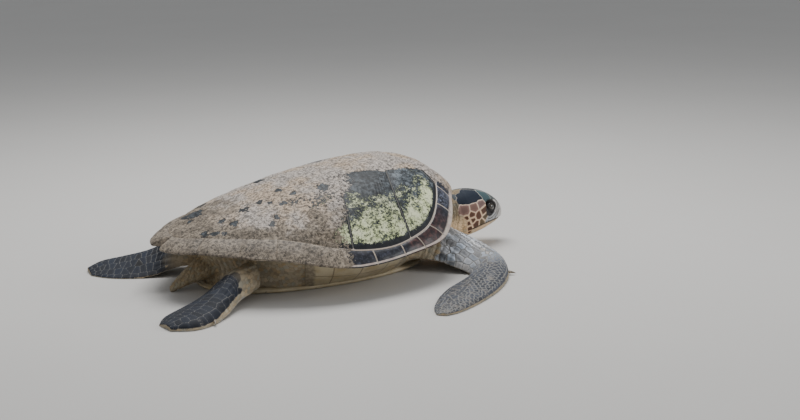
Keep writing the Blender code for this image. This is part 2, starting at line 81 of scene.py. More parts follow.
def lumps(points, size, seed=0):
    # smooth random values from -1 to 1, with lumps of one size
    q = np.asarray(points, float) / size + 517.3
    cell = np.floor(q).astype(np.int64)
    t = q - cell
    t = t * t * (3 - 2 * t)
    total = np.zeros(q.shape[:-1])
    for corner in range(8):
        bit = np.array([corner & 1, corner >> 1 & 1, corner >> 2 & 1])
        c = cell + bit
        mixed = c[..., 0] * 73856093 ^ c[..., 1] * 19349663 ^ c[..., 2] * 83492791 ^ (seed + 1) * 2654435
        mixed = (mixed ^ mixed >> 13) * 1274126177 & 0x7FFFFFFF
        value = ((mixed ^ mixed >> 16) & 0xFFFF) / 32767.5 - 1
        total += value * np.prod(np.where(bit == 1, t, 1 - t), axis=-1)
    return total


def roughLumps(points, size, seed=0):
    return (lumps(points, size, seed) + 0.5 * lumps(points, size / 2.1, seed + 5)
            + 0.25 * lumps(points, size / 4.3, seed + 9)) / 1.75


def track(stations, at):
    # smooth curve through rows of (place, value, value, ...)
    rows = np.array(stations, float)
    place, values = rows[:, 0], rows[:, 1:]
    slope = np.gradient(values, place, axis=0)
    at = np.atleast_1d(np.asarray(at, float))
    k = np.clip(np.searchsorted(place, at) - 1, 0, len(place) - 2)
    span = (place[k + 1] - place[k])[:, None]
    t = np.clip((at[:, None] - place[k][:, None]) / span, 0, 1)
    return ((2 * t**3 - 3 * t**2 + 1) * values[k] + (t**3 - 2 * t**2 + t) * span * slope[k]
            + (3 * t**2 - 2 * t**3) * values[k + 1] + (t**3 - t**2) * span * slope[k + 1])


def tube(rings, first=0, capped=True):
    # points and faces of a body through closed rings of points
    n, m = rings.shape[:2]
    i, j = np.arange(n - 1)[:, None] * m, np.arange(m)[None, :]
    a, b = i + j, i + (j + 1) % m
    faces = (np.stack([a, b, b + m, a + m], axis=-1) + first).reshape(-1, 4).tolist()
    if capped:
        faces += [[first + j for j in range(m)][::-1], [first + (n - 1) * m + j for j in range(m)]]
    return rings.reshape(-1, 3), faces


def tubes(parts):
    points, faces = [], []
    for rings in parts:
        partPoints, partFaces = tube(rings, sum(map(len, points)))
        points.append(partPoints)
        faces += partFaces
    return np.concatenate(points), faces


def giveMarks(mesh, marks):
    # one value or one colour for each point, which the finishes read by name
    for key, values in marks.items():
        values = np.asarray(values, np.float32)
        if values.ndim == 1:
            mesh.attributes.new(key, "FLOAT", "POINT").data.foreach_set("value", values)
        else:
            wide = np.hstack([values, np.ones((len(values), 1), np.float32)])
            mesh.attributes.new(key, "FLOAT_COLOR", "POINT").data.foreach_set("color", wide.ravel())


def faceOutwards(mesh):
    bm = bmesh.new()
    bm.from_mesh(mesh)
    bmesh.ops.recalc_face_normals(bm, faces=bm.faces)
    bm.to_mesh(mesh)
    bm.free()


def meshFrom(name, points, faces, marks=None):
    mesh = bpy.data.meshes.new(name)
    mesh.from_pydata(np.asarray(points).tolist(), [], faces)
    giveMarks(mesh, marks or {})
    faceOutwards(mesh)
    mesh.shade_smooth()
    return mesh


def toScene(name, data):
    made = bpy.data.objects.new(name, data)
    bpy.context.scene.collection.objects.link(made)
    return made


def addPiece(name, mesh, finish, slot, *nodes):
    piece = toScene(name, mesh)
    mesh.materials.clear()
    mesh.materials.append(finish)
    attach(piece, "root")
    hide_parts(*nodes)


class Level:
    # one value over a surface; sums written with it become Math nodes
    def __init__(self, finish, socket):
        self.finish, self.socket = finish, socket

    def sum(self, kind, a, b):
        return self.finish.add("ShaderNodeMath", {"operation": kind}, {0: a, 1: b})

    def __add__(self, other):
        return self.sum("ADD", self, other)

    def __sub__(self, other):
        return self.sum("SUBTRACT", self, other)

    def __rsub__(self, other):
        return self.sum("SUBTRACT", other, self)

    def __mul__(self, other):
        return self.sum("MULTIPLY", self, other)

    def __truediv__(self, other):
        return self.sum("DIVIDE", self, other)

    def __rtruediv__(self, other):
        return self.sum("DIVIDE", other, self)

    __radd__, __rmul__ = __add__, __mul__

    def most(self, other):
        return self.sum("MAXIMUM", self, other)

    def rise(self, low, high):
        # 0 below low, 1 above high, smooth between
        return self.finish.add("ShaderNodeMapRange", {"interpolation_type": "SMOOTHSTEP"},
                               {"Value": self, "From Min": low, "From Max": high})


class Finish:
    def __init__(self, name, roughness=0.6, **fixed):
        self.material = bpy.data.materials.new(name)
        self.material.use_nodes = True
        self.nodes, self.links = self.material.node_tree.nodes, self.material.node_tree.links
        self.shader = self.nodes["Principled BSDF"]
        for key, value in {"Roughness": roughness, **fixed}.items():
            self.shader.inputs[key.replace("_", " ")].default_value = value
        self.place = self.add("ShaderNodeTexCoord", output="Object")

    def add(self, kind, settings=None, inputs=None, output=0):
        # one node: first its settings, then the values or links of its sockets
        node = self.nodes.new(kind)
        for key, value in (settings or {}).items():
            setattr(node, key, value)
        for key, value in (inputs or {}).items():
            self.feed(node.inputs[key], value)
        return Level(self, node.outputs[output])

    def feed(self, socket, value):
        if isinstance(value, Level):
            self.links.new(value.socket, socket)
        else:
            socket.default_value = (*value, 1) if socket.type == "RGBA" else value

    def mark(self, name, output="Fac"):
        return self.add("ShaderNodeAttribute", {"attribute_name": name}, output=output)

    def noise(self, size, detail=3.0, place=None, rough=0.55):
        return self.add("ShaderNodeTexNoise", {}, {"Vector": place or self.place, "Scale": 1 / size,
                                                   "Detail": detail, "Roughness": rough})

    def stretched(self, *factors):
        return self.add("ShaderNodeVectorMath", {"operation": "MULTIPLY"}, {0: self.place, 1: factors})

    def cells(self, size):
        return self.add("ShaderNodeTexVoronoi", {}, {"Vector": self.place, "Scale": 1 / size}, "Distance")

    def over(self, mask, under, colour, mode="MIX"):
        return self.add("ShaderNodeMix", {"data_type": "RGBA", "blend_type": mode},
                        {0: mask, 6: under, 7: colour}, 2)

    def shade(self, colour, amount):
        # colour made lighter or darker by a value round 1
        grey = self.add("ShaderNodeCombineColor", {}, {0: amount, 1: amount, 2: amount})
        return self.over(1.0, colour, grey, "MULTIPLY")

    def done(self, colour, roughness=None, height=None, distance=0.001, coat=None):
        wanted = {"Base Color": colour, "Roughness": roughness, "Coat Weight": coat}
        if height is not None:
            bump = {"Distance": distance, "Height": height}
            wanted["Normal"] = self.add("ShaderNodeBump", {}, bump, "Normal")
        for key, value in wanted.items():
            if value is not None:
                self.feed(self.shader.inputs[key], value)
        return self.material


studio = {
    "cameraPlace": (shift - 1.9092, -3.9543, 1.2193), "cameraTurn": (76.873, 0.816, -30.122), "lens": 61.97,
    "floorTone": (0.60, 0.585, 0.56), "floorHalf": 45.0,
    "skyTone": (0.93, 0.96, 1.0), "skyLevel": 0.38,
    # place, watts and size of each lamp
    "key": ((0.3, 0.9, 3.6), 150, 2.4), "fill": ((3.4, -3.0, 1.9), 62, 2.0),
}


def setStudio():
    camera = toScene("camera", bpy.data.cameras.new("camera"))
    camera.location = studio["cameraPlace"]
    camera.rotation_euler = [math.radians(a) for a in studio["cameraTurn"]]
    camera.data.lens = studio["lens"]
    camera.data.sensor_width = 36
    camera.data.clip_end = 200
    bpy.context.scene.camera = camera

    finish = Finish("floorFinish", 0.85)
    tone = finish.shade(studio["floorTone"], 0.97 + finish.noise(0.9) * 0.06)
    half = studio["floorHalf"]
    corners = [(-half, -half, 0), (half, -half, 0), (half, half, 0), (-half, half, 0)]
    floor = toScene("floor", meshFrom("floor", corners, [[0, 1, 2, 3]]))
    floor.data.materials.append(finish.done(tone))

    world = bpy.data.worlds.new("sky")
    world.use_nodes = True
    sky = world.node_tree.nodes["Background"].inputs
    sky["Color"].default_value = (*studio["skyTone"], 1)
    sky["Strength"].default_value = studio["skyLevel"]
    bpy.context.scene.world = world

    for kind in ("key", "fill"):
        lamp = toScene(kind, bpy.data.lights.new(kind, "AREA"))
        lamp.location, lamp.data.energy, lamp.data.size = studio[kind]
        lamp.rotation_euler = (Vector((0, 0, 0.15)) - lamp.location).to_track_quat("-Z", "Y").to_euler()
    print("studio set")


setStudio()

shell = {
    "halfWidth": 0.393, "frontFullness": 0.83, "shoulderSwell": 0.045, "tailTaper": 0.34,
    "rimHeight": 0.114, "rimRiseFront": 0.147, "rimRiseRear": 0.038,
    "rimLift": 0.020, "liftSpan": (0.05, 0.5), "tailDip": 0.6, "dipSpan": (0.8, 1.0),
    "peakHeight": 0.356, "peakAt": 0.215, "domePower": 2.6,
    "nuchalAngle": 9, "marginalSeams": (31, 42, 54, 63, 71.5, 83.7, 96, 107.5, 119, 132, 150),
    # corners of the middle row, as s and w
    "narrows": ((0.155, 0.085), (0.365, 0.080), (0.560, 0.072), (0.745, 0.054)),
    "wides": ((0.262, 0.128), (0.432, 0.125), (0.655, 0.110)),
    "costalFeet": (65.7, 91, 117), "lastFoot": 141, "seamBows": (0.012, 0.002, 0.012), "frontBow": 0.006,
}


def outline(angle):
    c, turn = np.cos(angle), np.sin(angle)
    taper = np.where(c < 0, shell["tailTaper"] * c * c, 0)
    w = shell["halfWidth"] * np.abs(turn) ** shell["frontFullness"]
    return 0.5 * (1 - c), np.copysign(w * (1 + shell["shoulderSwell"] * c - taper), turn)


def rimHeight(s):
    c = 1 - 2 * s
    dip = 1 - shell["tailDip"] * ease(-c, *shell["dipSpan"])
    lift = shell["rimLift"] * ease(-c, *shell["liftSpan"]) * dip
    return (shell["rimHeight"] + shell["rimRiseFront"] * np.maximum(c, 0) ** 2.3
            + shell["rimRiseRear"] * np.maximum(-c, 0) + lift)


def ridgeHeight(s):
    peak, at = shell["peakHeight"], shell["peakAt"]
    ahead = peak - (peak - rimHeight(0.0)) * np.clip(1 - np.maximum(s, 0) / at, 0, 1) ** 2.4
    back = np.clip((s - at) / (1 - at), 0, 1)
    return np.where(s < at, ahead, peak - (peak - rimHeight(1.0)) * back**1.7)


def domeHeight(s, w):
    half = outline(np.arccos(np.clip(1 - 2 * s, -1, 1)))[1]
    t = np.clip(np.abs(w) / np.maximum(half, 1e-6), 0, 1)
    return rimHeight(s) + (ridgeHeight(s) - rimHeight(s)) * (1 - t ** shell["domePower"])


def domeNormal(s, w, step=0.004):
    return unit(triple(domeHeight(s + step, w) - domeHeight(s - step, w),
                       domeHeight(s, w - step) - domeHeight(s, w + step), 2 * step))


def domePoint(s, w, lift=0.0):
    s, w = np.asarray(s, float), np.asarray(w, float)
    return triple(shellFront - s, w, domeHeight(s, w)) + domeNormal(s, w) * np.asarray(lift)[..., None]


def ringPoint(degrees, inset):
    a = np.radians(degrees)
    s, w = outline(a)
    ahead, behind = outline(a - 0.01), outline(a + 0.01)
    ds, dw = behind[0] - ahead[0], behind[1] - ahead[1]
    length = np.hypot(ds, dw)
    return s + dw / length * inset, w - ds / length * inset


def seamInset(degrees):
    a = np.abs(degrees)
    return 0.014 + 0.040 * (1 - ease(a, 25, 58)) + 0.034 * ease(a, 70, 120)


def innerSeam(degrees):
    return ringPoint(degrees, seamInset(degrees))


# where sand lies, and where weed grows, over the shell
dusting = {
    "bareTop": 0.145, "topFall": 0.040, "topSpan": (0.27, 0.39),
    "bareRear": 0.416, "rearBulge": 0.118, "rearSpan": (0.19, 0.33), "weedTop": 0.215,
    "barePatches": (
        (0.845, 0.072, 0.030), (0.868, 0.100, 0.018), (0.821, -0.091, 0.011), (0.799, -0.134, 0.013),
        (0.884, -0.110, 0.015), (0.862, -0.133, 0.011), (0.842, -0.153, 0.008), (0.745, -0.090, 0.017),
        (0.666, -0.118, 0.009), (0.615, -0.060, 0.012), (0.689, -0.089, 0.009), (0.687, -0.200, 0.009),
        (0.713, -0.216, 0.011), (0.498, -0.143, 0.019), (0.640, -0.150, 0.010), (0.590, -0.120, 0.010),
        (0.790, 0.150, 0.016), (0.700, 0.200, 0.013), (0.600, 0.120, 0.017), (0.520, 0.190, 0.019),
        (0.560, 0.260, 0.012), (0.880, 0.030, 0.010),
    ),
    # thin weed that shows through the sand: s, w, reach along s and w
    "mottles": ((0.535, 0.200, 0.085, 0.050), (0.600, 0.165, 0.060, 0.030), (0.440, 0.225, 0.055, 0.050)),
}


def shellCover(s, w, points):
    # amounts of sand and weed at places on the shell
    side, wander = np.abs(w), roughLumps(points, 0.06, 3)
    top = dusting["bareTop"] - dusting["topFall"] * ease(s, *dusting["topSpan"]) + 0.010 * wander
    rear = dusting["bareRear"] + dusting["rearBulge"] * ease(side, *dusting["rearSpan"]) + 0.018 * wander
    bare = ease(side, top - 0.012, top + 0.016) * (1 - ease(s, rear - 0.070, rear + 0.055))
    # the front plate of the middle row stays dusted right up to its seam
    seamS, seamW = innerSeam(np.array(shell["marginalSeams"][0]))
    cornerS, cornerW = shell["narrows"][0]
    frontSeam = cornerS + (seamS - cornerS) * np.clip((side - cornerW) / (seamW - cornerW), 0, 1)
    ahead = ease(frontSeam - s, 0.001, 0.005) * (side < seamW + 0.01)
    bare = bare * (1 - 0.72 * ahead)
    strayS, strayW = s + 0.010 * roughLumps(points, 0.022, 70), w + 0.014 * roughLumps(points, 0.018, 80)
    for patchS, patchW, reach in dusting["barePatches"]:
        away = np.hypot(strayS - patchS, (strayW - patchW) * 0.85) / reach
        bare = np.maximum(bare, 1.05 - 0.55 * away**1.8 + 0.25 * roughLumps(points, 0.009, 8))
    mottle = np.zeros(len(side))
    for midS, midW, reachS, reachW in dusting["mottles"]:
        away = np.hypot((s - midS) / reachS, (side - midW) / reachW)
        mottle = np.maximum(mottle, 1 - ease(away, 0.25, 1.15))
    weedTop = dusting["weedTop"] + 0.016 * wander
    weedTop -= 0.060 * ease(0.23 - s, 0, 0.05) * (1 - ease(0.16 - s, 0, 0.03))
    low = ease(side, weedTop, weedTop + 0.13)
    weed = ease(side, weedTop - 0.035, weedTop + 0.035) * (0.52 + 0.48 * low)
    thinned = 0.55 * ease(s, rear - 0.075, rear - 0.020) * (1 - ease(side, 0.27, 0.32))
    weed *= (1 - 0.9 * ahead) * (1 - thinned)
    weed += 0.10 * ease(0.30 - s, 0, 0.08) * (weed > 0.1)
    return np.clip(1 - bare - 0.56 * mottle, 0, 1), np.clip(weed + mottle * 0.45, 0, 1)


def dampness(points):
    # the sand is damp and browner low on the sides, dry and paler on top
    return 1 - ease(points[..., 2] + 0.05 * roughLumps(points, 0.10, 60), 0.17, 0.30)


def layeredShell(finish, horn, weed):
    # horn under weed under a film of sand; returns colour, roughness, height and how far sand covers
    sand, damp = finish.mark("sand"), finish.mark("damp")
    grit = finish.noise(0.0030, 2.0, rough=0.8)
    coarse = finish.noise(0.0085, 3.0, rough=0.80)
    clump = finish.noise(0.014, 4.0, rough=0.75)
    film = finish.noise(0.030, 6.0, rough=0.68)
    cover = (sand + (film - 0.5) * 0.75 + (coarse - 0.5) * 1.9).rise(0.42, 0.56)
    cover = cover.most((sand * 0.8 + (coarse - 0.5) * 2.2).rise(0.62, 0.80) * 0.35)
    patch = finish.noise(0.040, 4.0, rough=0.65)
    fleck = finish.noise(0.0080, 3.0, rough=0.90)
    growth = (fleck * 1.5 + (patch - 0.5) * 1.1 + weed * 0.66).rise(1.16, 1.32) * weed.rise(0.03, 0.25)
    fresh = (finish.noise(0.0075, 2.0, rough=0.9) * 0.80 + patch * 0.45 + weed * 0.12).rise(0.60, 0.78)
    light = finish.over(patch.rise(0.35, 0.65), (0.68, 0.76, 0.38), (0.76, 0.79, 0.54))
    colour = finish.over(growth, horn, finish.over(fresh, (0.062, 0.074, 0.058), light))
    warm = finish.noise(0.12, 5.0, rough=0.6).rise(0.42, 0.60)
    dry = finish.over(warm, (0.385, 0.342, 0.304), (0.410, 0.322, 0.238))
    wet = finish.over(finish.noise(0.05, 4.0).rise(0.35, 0.65), (0.150, 0.123, 0.094), (0.225, 0.186, 0.142))
    dry = finish.over((damp + (patch - 0.5) * 0.9).rise(0.28, 0.72), dry, wet)
    grain = grit.rise(0.36, 0.64) * 0.24 + coarse.rise(0.43, 0.57) * 1.02
    dry = finish.shade(dry, 0.14 + grain + clump.rise(0.34, 0.62) * (0.22 + damp * 0.36))
    height = growth * (0.5 + fresh * 0.9) + cover * (0.6 + grit * 1.0 + coarse * 1.8 + clump * damp * 2.0)
    return finish.over(cover, colour, dry), 0.50 + growth * 0.35 + cover * 0.14, height, cover


def scuteFinish():
    finish = Finish("scuteFinish", Specular_IOR_Level=0.28)
    seam, ringSeam, weed = finish.mark("seam"), finish.mark("ringSeam"), finish.mark("weed")
    ragged = (finish.noise(0.011, 4.0, rough=0.7) - 0.5) * 0.011
    streak = finish.noise(0.030, 5.0, finish.mark("grain", "Color"), 0.7)
    cloud = finish.noise(0.024, 5.0, rough=0.7)
    wear = (streak * 0.22 + finish.noise(0.0150, 4.0, rough=0.80) * 0.98).rise(0.52, 0.68)
    blot = finish.noise(0.026, 3.0, rough=0.65).rise(0.38, 0.62)
    horn = finish.over(wear, (0.012, 0.017, 0.022), (0.130, 0.152, 0.170))
    horn = finish.shade(horn, (0.50 + finish.mark("fore") * 0.55) * (0.60 + blot * 0.76))
    horn = finish.over(cloud.rise(0.47, 0.60) * 0.8, horn, (0.018, 0.022, 0.025))
    dark = 1 - (seam + ragged * 0.8).rise(0.0020, 0.0055)
    dark = dark.most(1 - (ringSeam + ragged).rise(0.007, 0.018))
    horn = finish.over(dark * 0.9, horn, (0.007, 0.008, 0.011))
    clear = (seam + ragged * 0.9).rise(0.0018, 0.0058) * (ringSeam + ragged).rise(0.006, 0.018)
    colour, roughness, height, cover = layeredShell(finish, horn, weed * clear)
    bareness = 1 - cover * 0.97
    colour = finish.over((1 - seam.rise(0.0007, 0.0016)) * bareness * 0.65, colour, (0.40, 0.39, 0.36))
    colour = finish.over((1 - ringSeam.rise(0.0014, 0.0028)) * bareness, colour, (0.70, 0.61, 0.53))
    return finish.done(colour, roughness, height, 0.0011)


def marginalFinish():
    finish = Finish("marginalFinish", Specular_IOR_Level=0.4)
    seam, tip, worn = finish.mark("seam"), finish.mark("tip"), finish.mark("worn")
    warm, width = finish.mark("warm"), finish.mark("creamWidth")
    streak = finish.noise(0.012, 4.0, rough=0.6)
    scratchAndGlint = finish.noise(0.0070, 4.0, rough=0.85).rise(0.56, 0.68)
    cool = finish.over(streak.rise(0.50, 0.78), (0.0065, 0.0075, 0.014), (0.060, 0.066, 0.096))
    # on the worn marginals, lighter bluish streaks and pale scratches: partly wear and partly painted glint
    cool = finish.over(worn * streak.rise(0.40, 0.62) * 0.5, cool, (0.15, 0.17, 0.25))
    cool = finish.over(scratchAndGlint * worn, cool, (0.46, 0.48, 0.56))
    brown = finish.over(streak.rise(0.40, 0.74), (0.014, 0.007, 0.009), (0.105, 0.042, 0.038))
    horn = finish.over((warm + (finish.noise(0.03, 3.0) - 0.5) * 0.7).rise(0.30, 0.75), cool, brown)
    edge = 1 - (tip / width + (finish.noise(0.012, 3.0) - 0.5) * 0.5).rise(0.55, 1.20)
    pale = finish.over(finish.noise(0.020, 3.0).rise(0.35, 0.65), (0.47, 0.37, 0.33), (0.56, 0.49, 0.42))
    horn = finish.over(edge * 0.96, horn, finish.shade(pale, 1.22))
    colour, roughness, height, cover = layeredShell(finish, horn, seam * 0)
    colour = finish.over((1 - seam.rise(0.0012, 0.0026)) * (1 - cover * 0.95), colour, (0.64, 0.56, 0.48))
    return finish.done(colour, roughness - 0.08, height, 0.0006, coat=(1 - cover) * 0.14)


softTones = (0.400, 0.335, 0.235), (0.270, 0.225, 0.160)  # soft skin and the lines between its scales


def bellyFinish():
    finish = Finish("bellyFinish", 0.5, Specular_IOR_Level=0.4)
    seam = finish.mark("seam")
    colour = finish.over(finish.noise(0.05, 4.0).rise(0.35, 0.70), (0.58, 0.50, 0.34), (0.46, 0.36, 0.20))
    colour = finish.over((finish.noise(0.16, 3.0)).rise(0.50, 0.75) * 0.5, colour, (0.30, 0.24, 0.17))
    colour = finish.over((1 - seam.rise(0.0010, 0.0028)) * 0.8, colour, (0.16, 0.11, 0.065))
    end = (finish.mark("end") + (finish.noise(0.012, 4.0, rough=0.7) - 0.5) * 0.8).rise(0.35, 0.65)
    colour = finish.over(end, colour, finish.over(finish.cells(0.011).rise(0.35, 0.60), *softTones))
    dust = finish.noise(0.008, 4.0, rough=0.7).rise(0.52, 0.72) * 0.5
    colour = finish.over(dust, colour, (0.34, 0.29, 0.23))
    return finish.done(colour, 0.48 + dust * 0.5, finish.noise(0.004, 3.0) + dust, 0.0004)


scuteMaterial, marginalMaterial, bellyMaterial = scuteFinish(), marginalFinish(), bellyFinish()


plate = {
    "spacing": 0.0032, "depth": 0.007, "edgeDrop": 0.0026, "edgeRound": 0.0042, "swell": 0.0018,
    "ringCount": 9, "ringRelief": 0.00022, "edgeRows": (0, 0.0006, 0.0013, 0.0023, 0.0036, 0.0055),
    "underShares": (0.998, 0.7, 0.35), "sink": 0.0008, "onRing": 0.0022,
    # unevenness of the horn, rise of the sand that lies on it, and lumps in that sand
    "uneven": 0.0007, "sandRise": 0.0010, "sandLumps": 0.0014,
}


def alongRing(first, last, side):
    count = max(int(abs(last - first) / 0.5), 2)
    angles = np.linspace(first, last, count + 1) * side
    return list(zip(*innerSeam(angles)))


def alongSeam(start, end, bow=0.0):
    # points after the start, the end included
    start, end = np.array(start), np.array(end)
    count = max(int(np.hypot(*(end - start)) / plate["spacing"]), 2)
    t = np.arange(1, count + 1)[:, None] / count
    points = start + (end - start) * t
    points[:, 0] += bow * np.sin(math.pi * t[:, 0])
    return [tuple(p) for p in points]


def segmentDistance(points, starts, ends):
    # distance in plan from each point to the nearest of many short segments
    best = np.full(len(points), 1e9)
    for a, b in zip(starts, ends):
        along = b - a
        t = np.clip(((points - a) @ along) / max(along @ along, 1e-12), 0, 1)
        best = np.minimum(best, np.hypot(*(points - a - t[:, None] * along).T))
    return best


def edgeFall(seam, drop, roundness):
    # how far a plate's surface falls away round its edge
    return drop * (1 - np.sqrt(1 - (1 - np.clip(seam / roundness, 0, 1)) ** 2))


def makeScute(name, border, seed):
    border = np.array([p for k, p in enumerate(border) if math.dist(p, border[k - 1]) > 1e-5])
    following = np.roll(border, -1, axis=0)
    cross = border[:, 0] * following[:, 1] - following[:, 0] * border[:, 1]
    centre = ((border + following) * cross[:, None]).sum(0) / (3 * cross.sum())
    # a side lies on the marginal ring when its middle is as far in as the ring's seam
    ring = np.array(alongRing(-180, 180, 1))
    onRing = np.array([np.hypot(*(ring - m).T).min() < plate["onRing"] for m in (border + following) / 2])

    # rings of points from the middle out to the border, with the middle itself before them
    n, spokes = len(border), centre - border
    reach = np.hypot(*spokes.T)
    last, steps = plate["edgeRows"][-1], int(reach.max() / plate["spacing"])
    inwards = [*plate["edgeRows"], *(last + (reach - last) * k / steps for k in range(1, steps))]
    count = len(inwards)
    plan = np.concatenate([centre[None], *(border + spokes * (d / reach)[:, None] for d in inwards[::-1])])
    s, w = plan.T
    share = np.append(0, np.repeat(np.arange(1, count + 1) / count, n))

    seam = segmentDistance(plan, border, following)
    ringSeam = segmentDistance(plan, border[onRing], following[onRing]) if onRing.any() else 0 * seam + 0.5
    base = domePoint(s, w)
    sand, weed = shellCover(s, w, base)
    buried = ease(sand, 0.55, 0.85)
    phase = share**1.5 * plate["ringCount"] * 2 * math.pi + lumps(base, 0.03, seed)
    growth = plate["ringRelief"] * np.sin(phase)
    uneven = growth * (1 - buried) + plate["uneven"] * roughLumps(base, 0.035, seed)
    uneven += plate["sandRise"] * buried
    uneven += plate["sandLumps"] * buried * (1 + 1.6 * dampness(base)) * roughLumps(base, 0.026, 40)
    fall = edgeFall(seam, plate["edgeDrop"], plate["edgeRound"]) * (1 - 0.90 * buried)
    lift = plate["swell"] * ease(seam, 0, 0.03) - fall - plate["sink"] + uneven * ease(seam, 0, 0.006)
    turn, away = np.arctan2(w - centre[1], s - centre[0]), np.hypot(w - centre[1], s - centre[0])
    marks = {"seam": seam, "ringSeam": ringSeam, "sand": sand, "weed": weed, "damp": dampness(base),
             "fore": 1 - ease(s, 0.23, 0.34),
             "grain": triple(np.cos(turn) * 0.5, np.sin(turn) * 0.5, away * 0.25 + seed)}

    # the hidden underside, and its middle
    under = np.concatenate([*(centre - spokes * q for q in plate["underShares"]), centre[None]])
    points = np.concatenate([domePoint(s, w, lift), domePoint(*under.T, -plate["depth"])])
    rings = (len(points) - 2) // n
    faces = tube(points[1:-1].reshape(rings, n, 3), 1, False)[1]
    for start, middle in ((1, 0), (1 + (rings - 1) * n, len(points) - 1)):
        faces += [[start + j, start + (j + 1) % n, middle] for j in range(n)]
    hidden = {"seam": 0.003, "ringSeam": 0.5}
    marks = {key: np.concatenate([v, np.full((len(under), *v.shape[1:]), hidden.get(key, 0))])
             for key, v in marks.items()}
    addPiece(name.replace("_scute", "") + "_plate", meshFrom(name, points, faces, marks), scuteMaterial,
             "carapace_scute", name)


def mirrored(points):
    return [(s, -w) for s, w in reversed(points)]


def makeVertebrals():
    narrows, wides = shell["narrows"], shell["wides"]
    front = alongRing(0, shell["marginalSeams"][0], 1)
    half = front + alongSeam(front[-1], narrows[0], shell["frontBow"])
    makeScute("vertebral_scute_1", half + mirrored(half)[:-1], 1)
    for k, wide in enumerate(wides):
        half = [narrows[k], *alongSeam(narrows[k], wide), *alongSeam(wide, narrows[k + 1])]
        across = alongSeam(half[-1], (half[-1][0], -half[-1][1]))
        back = mirrored(half)
        makeScute(f"vertebral_scute_{k + 2}", half + across[:-1] + back
                  + alongSeam(back[-1], half[0])[:-1], 2 + k)
    rear = alongRing(shell["lastFoot"], 180, 1)
    half = [narrows[-1], *alongSeam(narrows[-1], rear[0])[:-1], *rear]
    across = alongSeam(mirrored(half)[-1], half[0])[:-1]
    makeScute("vertebral_scute_5", half + mirrored(half)[1:] + across, 6)


def makeCostals(sideName, side):
    narrows, wides = ([(s, side * w) for s, w in shell[row]] for row in ("narrows", "wides"))
    feet = (shell["marginalSeams"][0], *shell["costalFeet"], shell["lastFoot"])
    bows = shell["seamBows"]
    for k in range(4):
        points = alongRing(feet[k], feet[k + 1], side)
        first = points[0]
        if k < 3:
            points += alongSeam(points[-1], wides[k], bows[k]) + alongSeam(wides[k], narrows[k])
        else:
            points += alongSeam(points[-1], narrows[3])
        if k > 0:
            points += alongSeam(narrows[k], wides[k - 1]) + alongSeam(wides[k - 1], first, bows[k - 1])
        else:
            points += alongSeam(narrows[0], first, shell["frontBow"])
        makeScute(f"costal_scute_{sideName}_{k + 1}", points, 10 + k + (side > 0) * 5)


makeVertebrals()
for sideName, side in sides.items():
    makeCostals(sideName, side)
print("scutes made")


rim = {
    "overhang": 0.010, "drop": 0.006, "flareAt": 54, "flareReach": 10, "flareOut": 0.010, "flareDrop": 0.020,
    "waistAt": 30, "waistReach": 11, "waist": 0.014, "slant": 5,
    "edge": 0.007, "foot": 0.009, "spacing": 0.4, "topRows": 22, "underRows": 9, "crown": 0.0022,
    "groove": 0.0022, "grooveRound": 0.0040, "scallop": 0.006, "notch": 0.030, "wallDepth": 0.0095,
    "nearEnds": (0, 0.0015, 0.0035, 0.006, 0.010), "endGap": 0.016, "arch": 0.008, "footDrop": 0.004,
    "arcLength": 0.42,  # metres of rim for each radian
}


def rimSection(degrees):
    # rows of points from the inner seam over the edge to the underside, one column for each angle
    degrees = np.asarray(degrees, float)
    a = np.abs(degrees)
    lean = degrees - np.copysign(rim["slant"] * (1 - ease(a, 50, 70)) * np.minimum(a / 30, 1), degrees)
    spread = hump(a, rim["flareAt"], rim["flareReach"])
    marks = np.array((shell["nuchalAngle"], *shell["marginalSeams"], 180.0))
    k = np.clip(np.searchsorted(marks, a) - 1, 0, len(marks) - 2)
    along = np.clip((a - marks[k]) / (marks[k + 1] - marks[k]), 0, 1)
    out = rim["overhang"] + rim["flareOut"] * spread
    out -= rim["waist"] * hump(a, rim["waistAt"], rim["waistReach"])
    out -= rim["scallop"] * ease(a, 100, 130) * (1 - np.sin(math.pi * along) ** 0.6)
    out -= rim["notch"] * (1 - ease(180 - a, 0, 5.5))
    edge = ringPoint(lean, -out)
    height = rimHeight(outline(np.radians(lean))[0]) - rim["drop"] - rim["flareDrop"] * spread
    under = ringPoint(degrees, seamInset(degrees) + rim["foot"])
    seam = domePoint(*innerSeam(degrees), -plate["sink"])
    tip = triple(shellFront - edge[0], edge[1], height)
    foot = triple(shellFront - under[0], under[1], height - rim["footDrop"])
    control = (seam + tip) / 2 + np.array([0, 0, rim["arch"]])
    place = [(k / (rim["topRows"] - 1)) ** 0.94 for k in range(rim["topRows"])]
    rows = [seam * (1 - t) ** 2 + control * 2 * t * (1 - t) + tip * t * t for t in place]
    outward = unit((tip - seam) * [1, 1, 0])
    half = rim["edge"] / 2
    for turn in np.pi * np.arange(1, 5) / 5:
        rows.append(tip + outward * 0.0015 * math.sin(turn) + np.array([0, 0, half * math.cos(turn) - half]))
        place.append(1.0)
    low = tip - np.array([0, 0, rim["edge"]])
    for t in np.linspace(0, 1, rim["underRows"]):
        rows.append(low * (1 - t) + foot * t)
        place.append(1 + t)
    return np.array(rows), np.array(place)


def walked(rows, axis):
    # length walked over a grid of points along one axis
    steps = np.linalg.norm(np.diff(rows, axis=axis), axis=2)
    return np.insert(np.cumsum(steps, axis=axis), 0, 0, axis=axis)


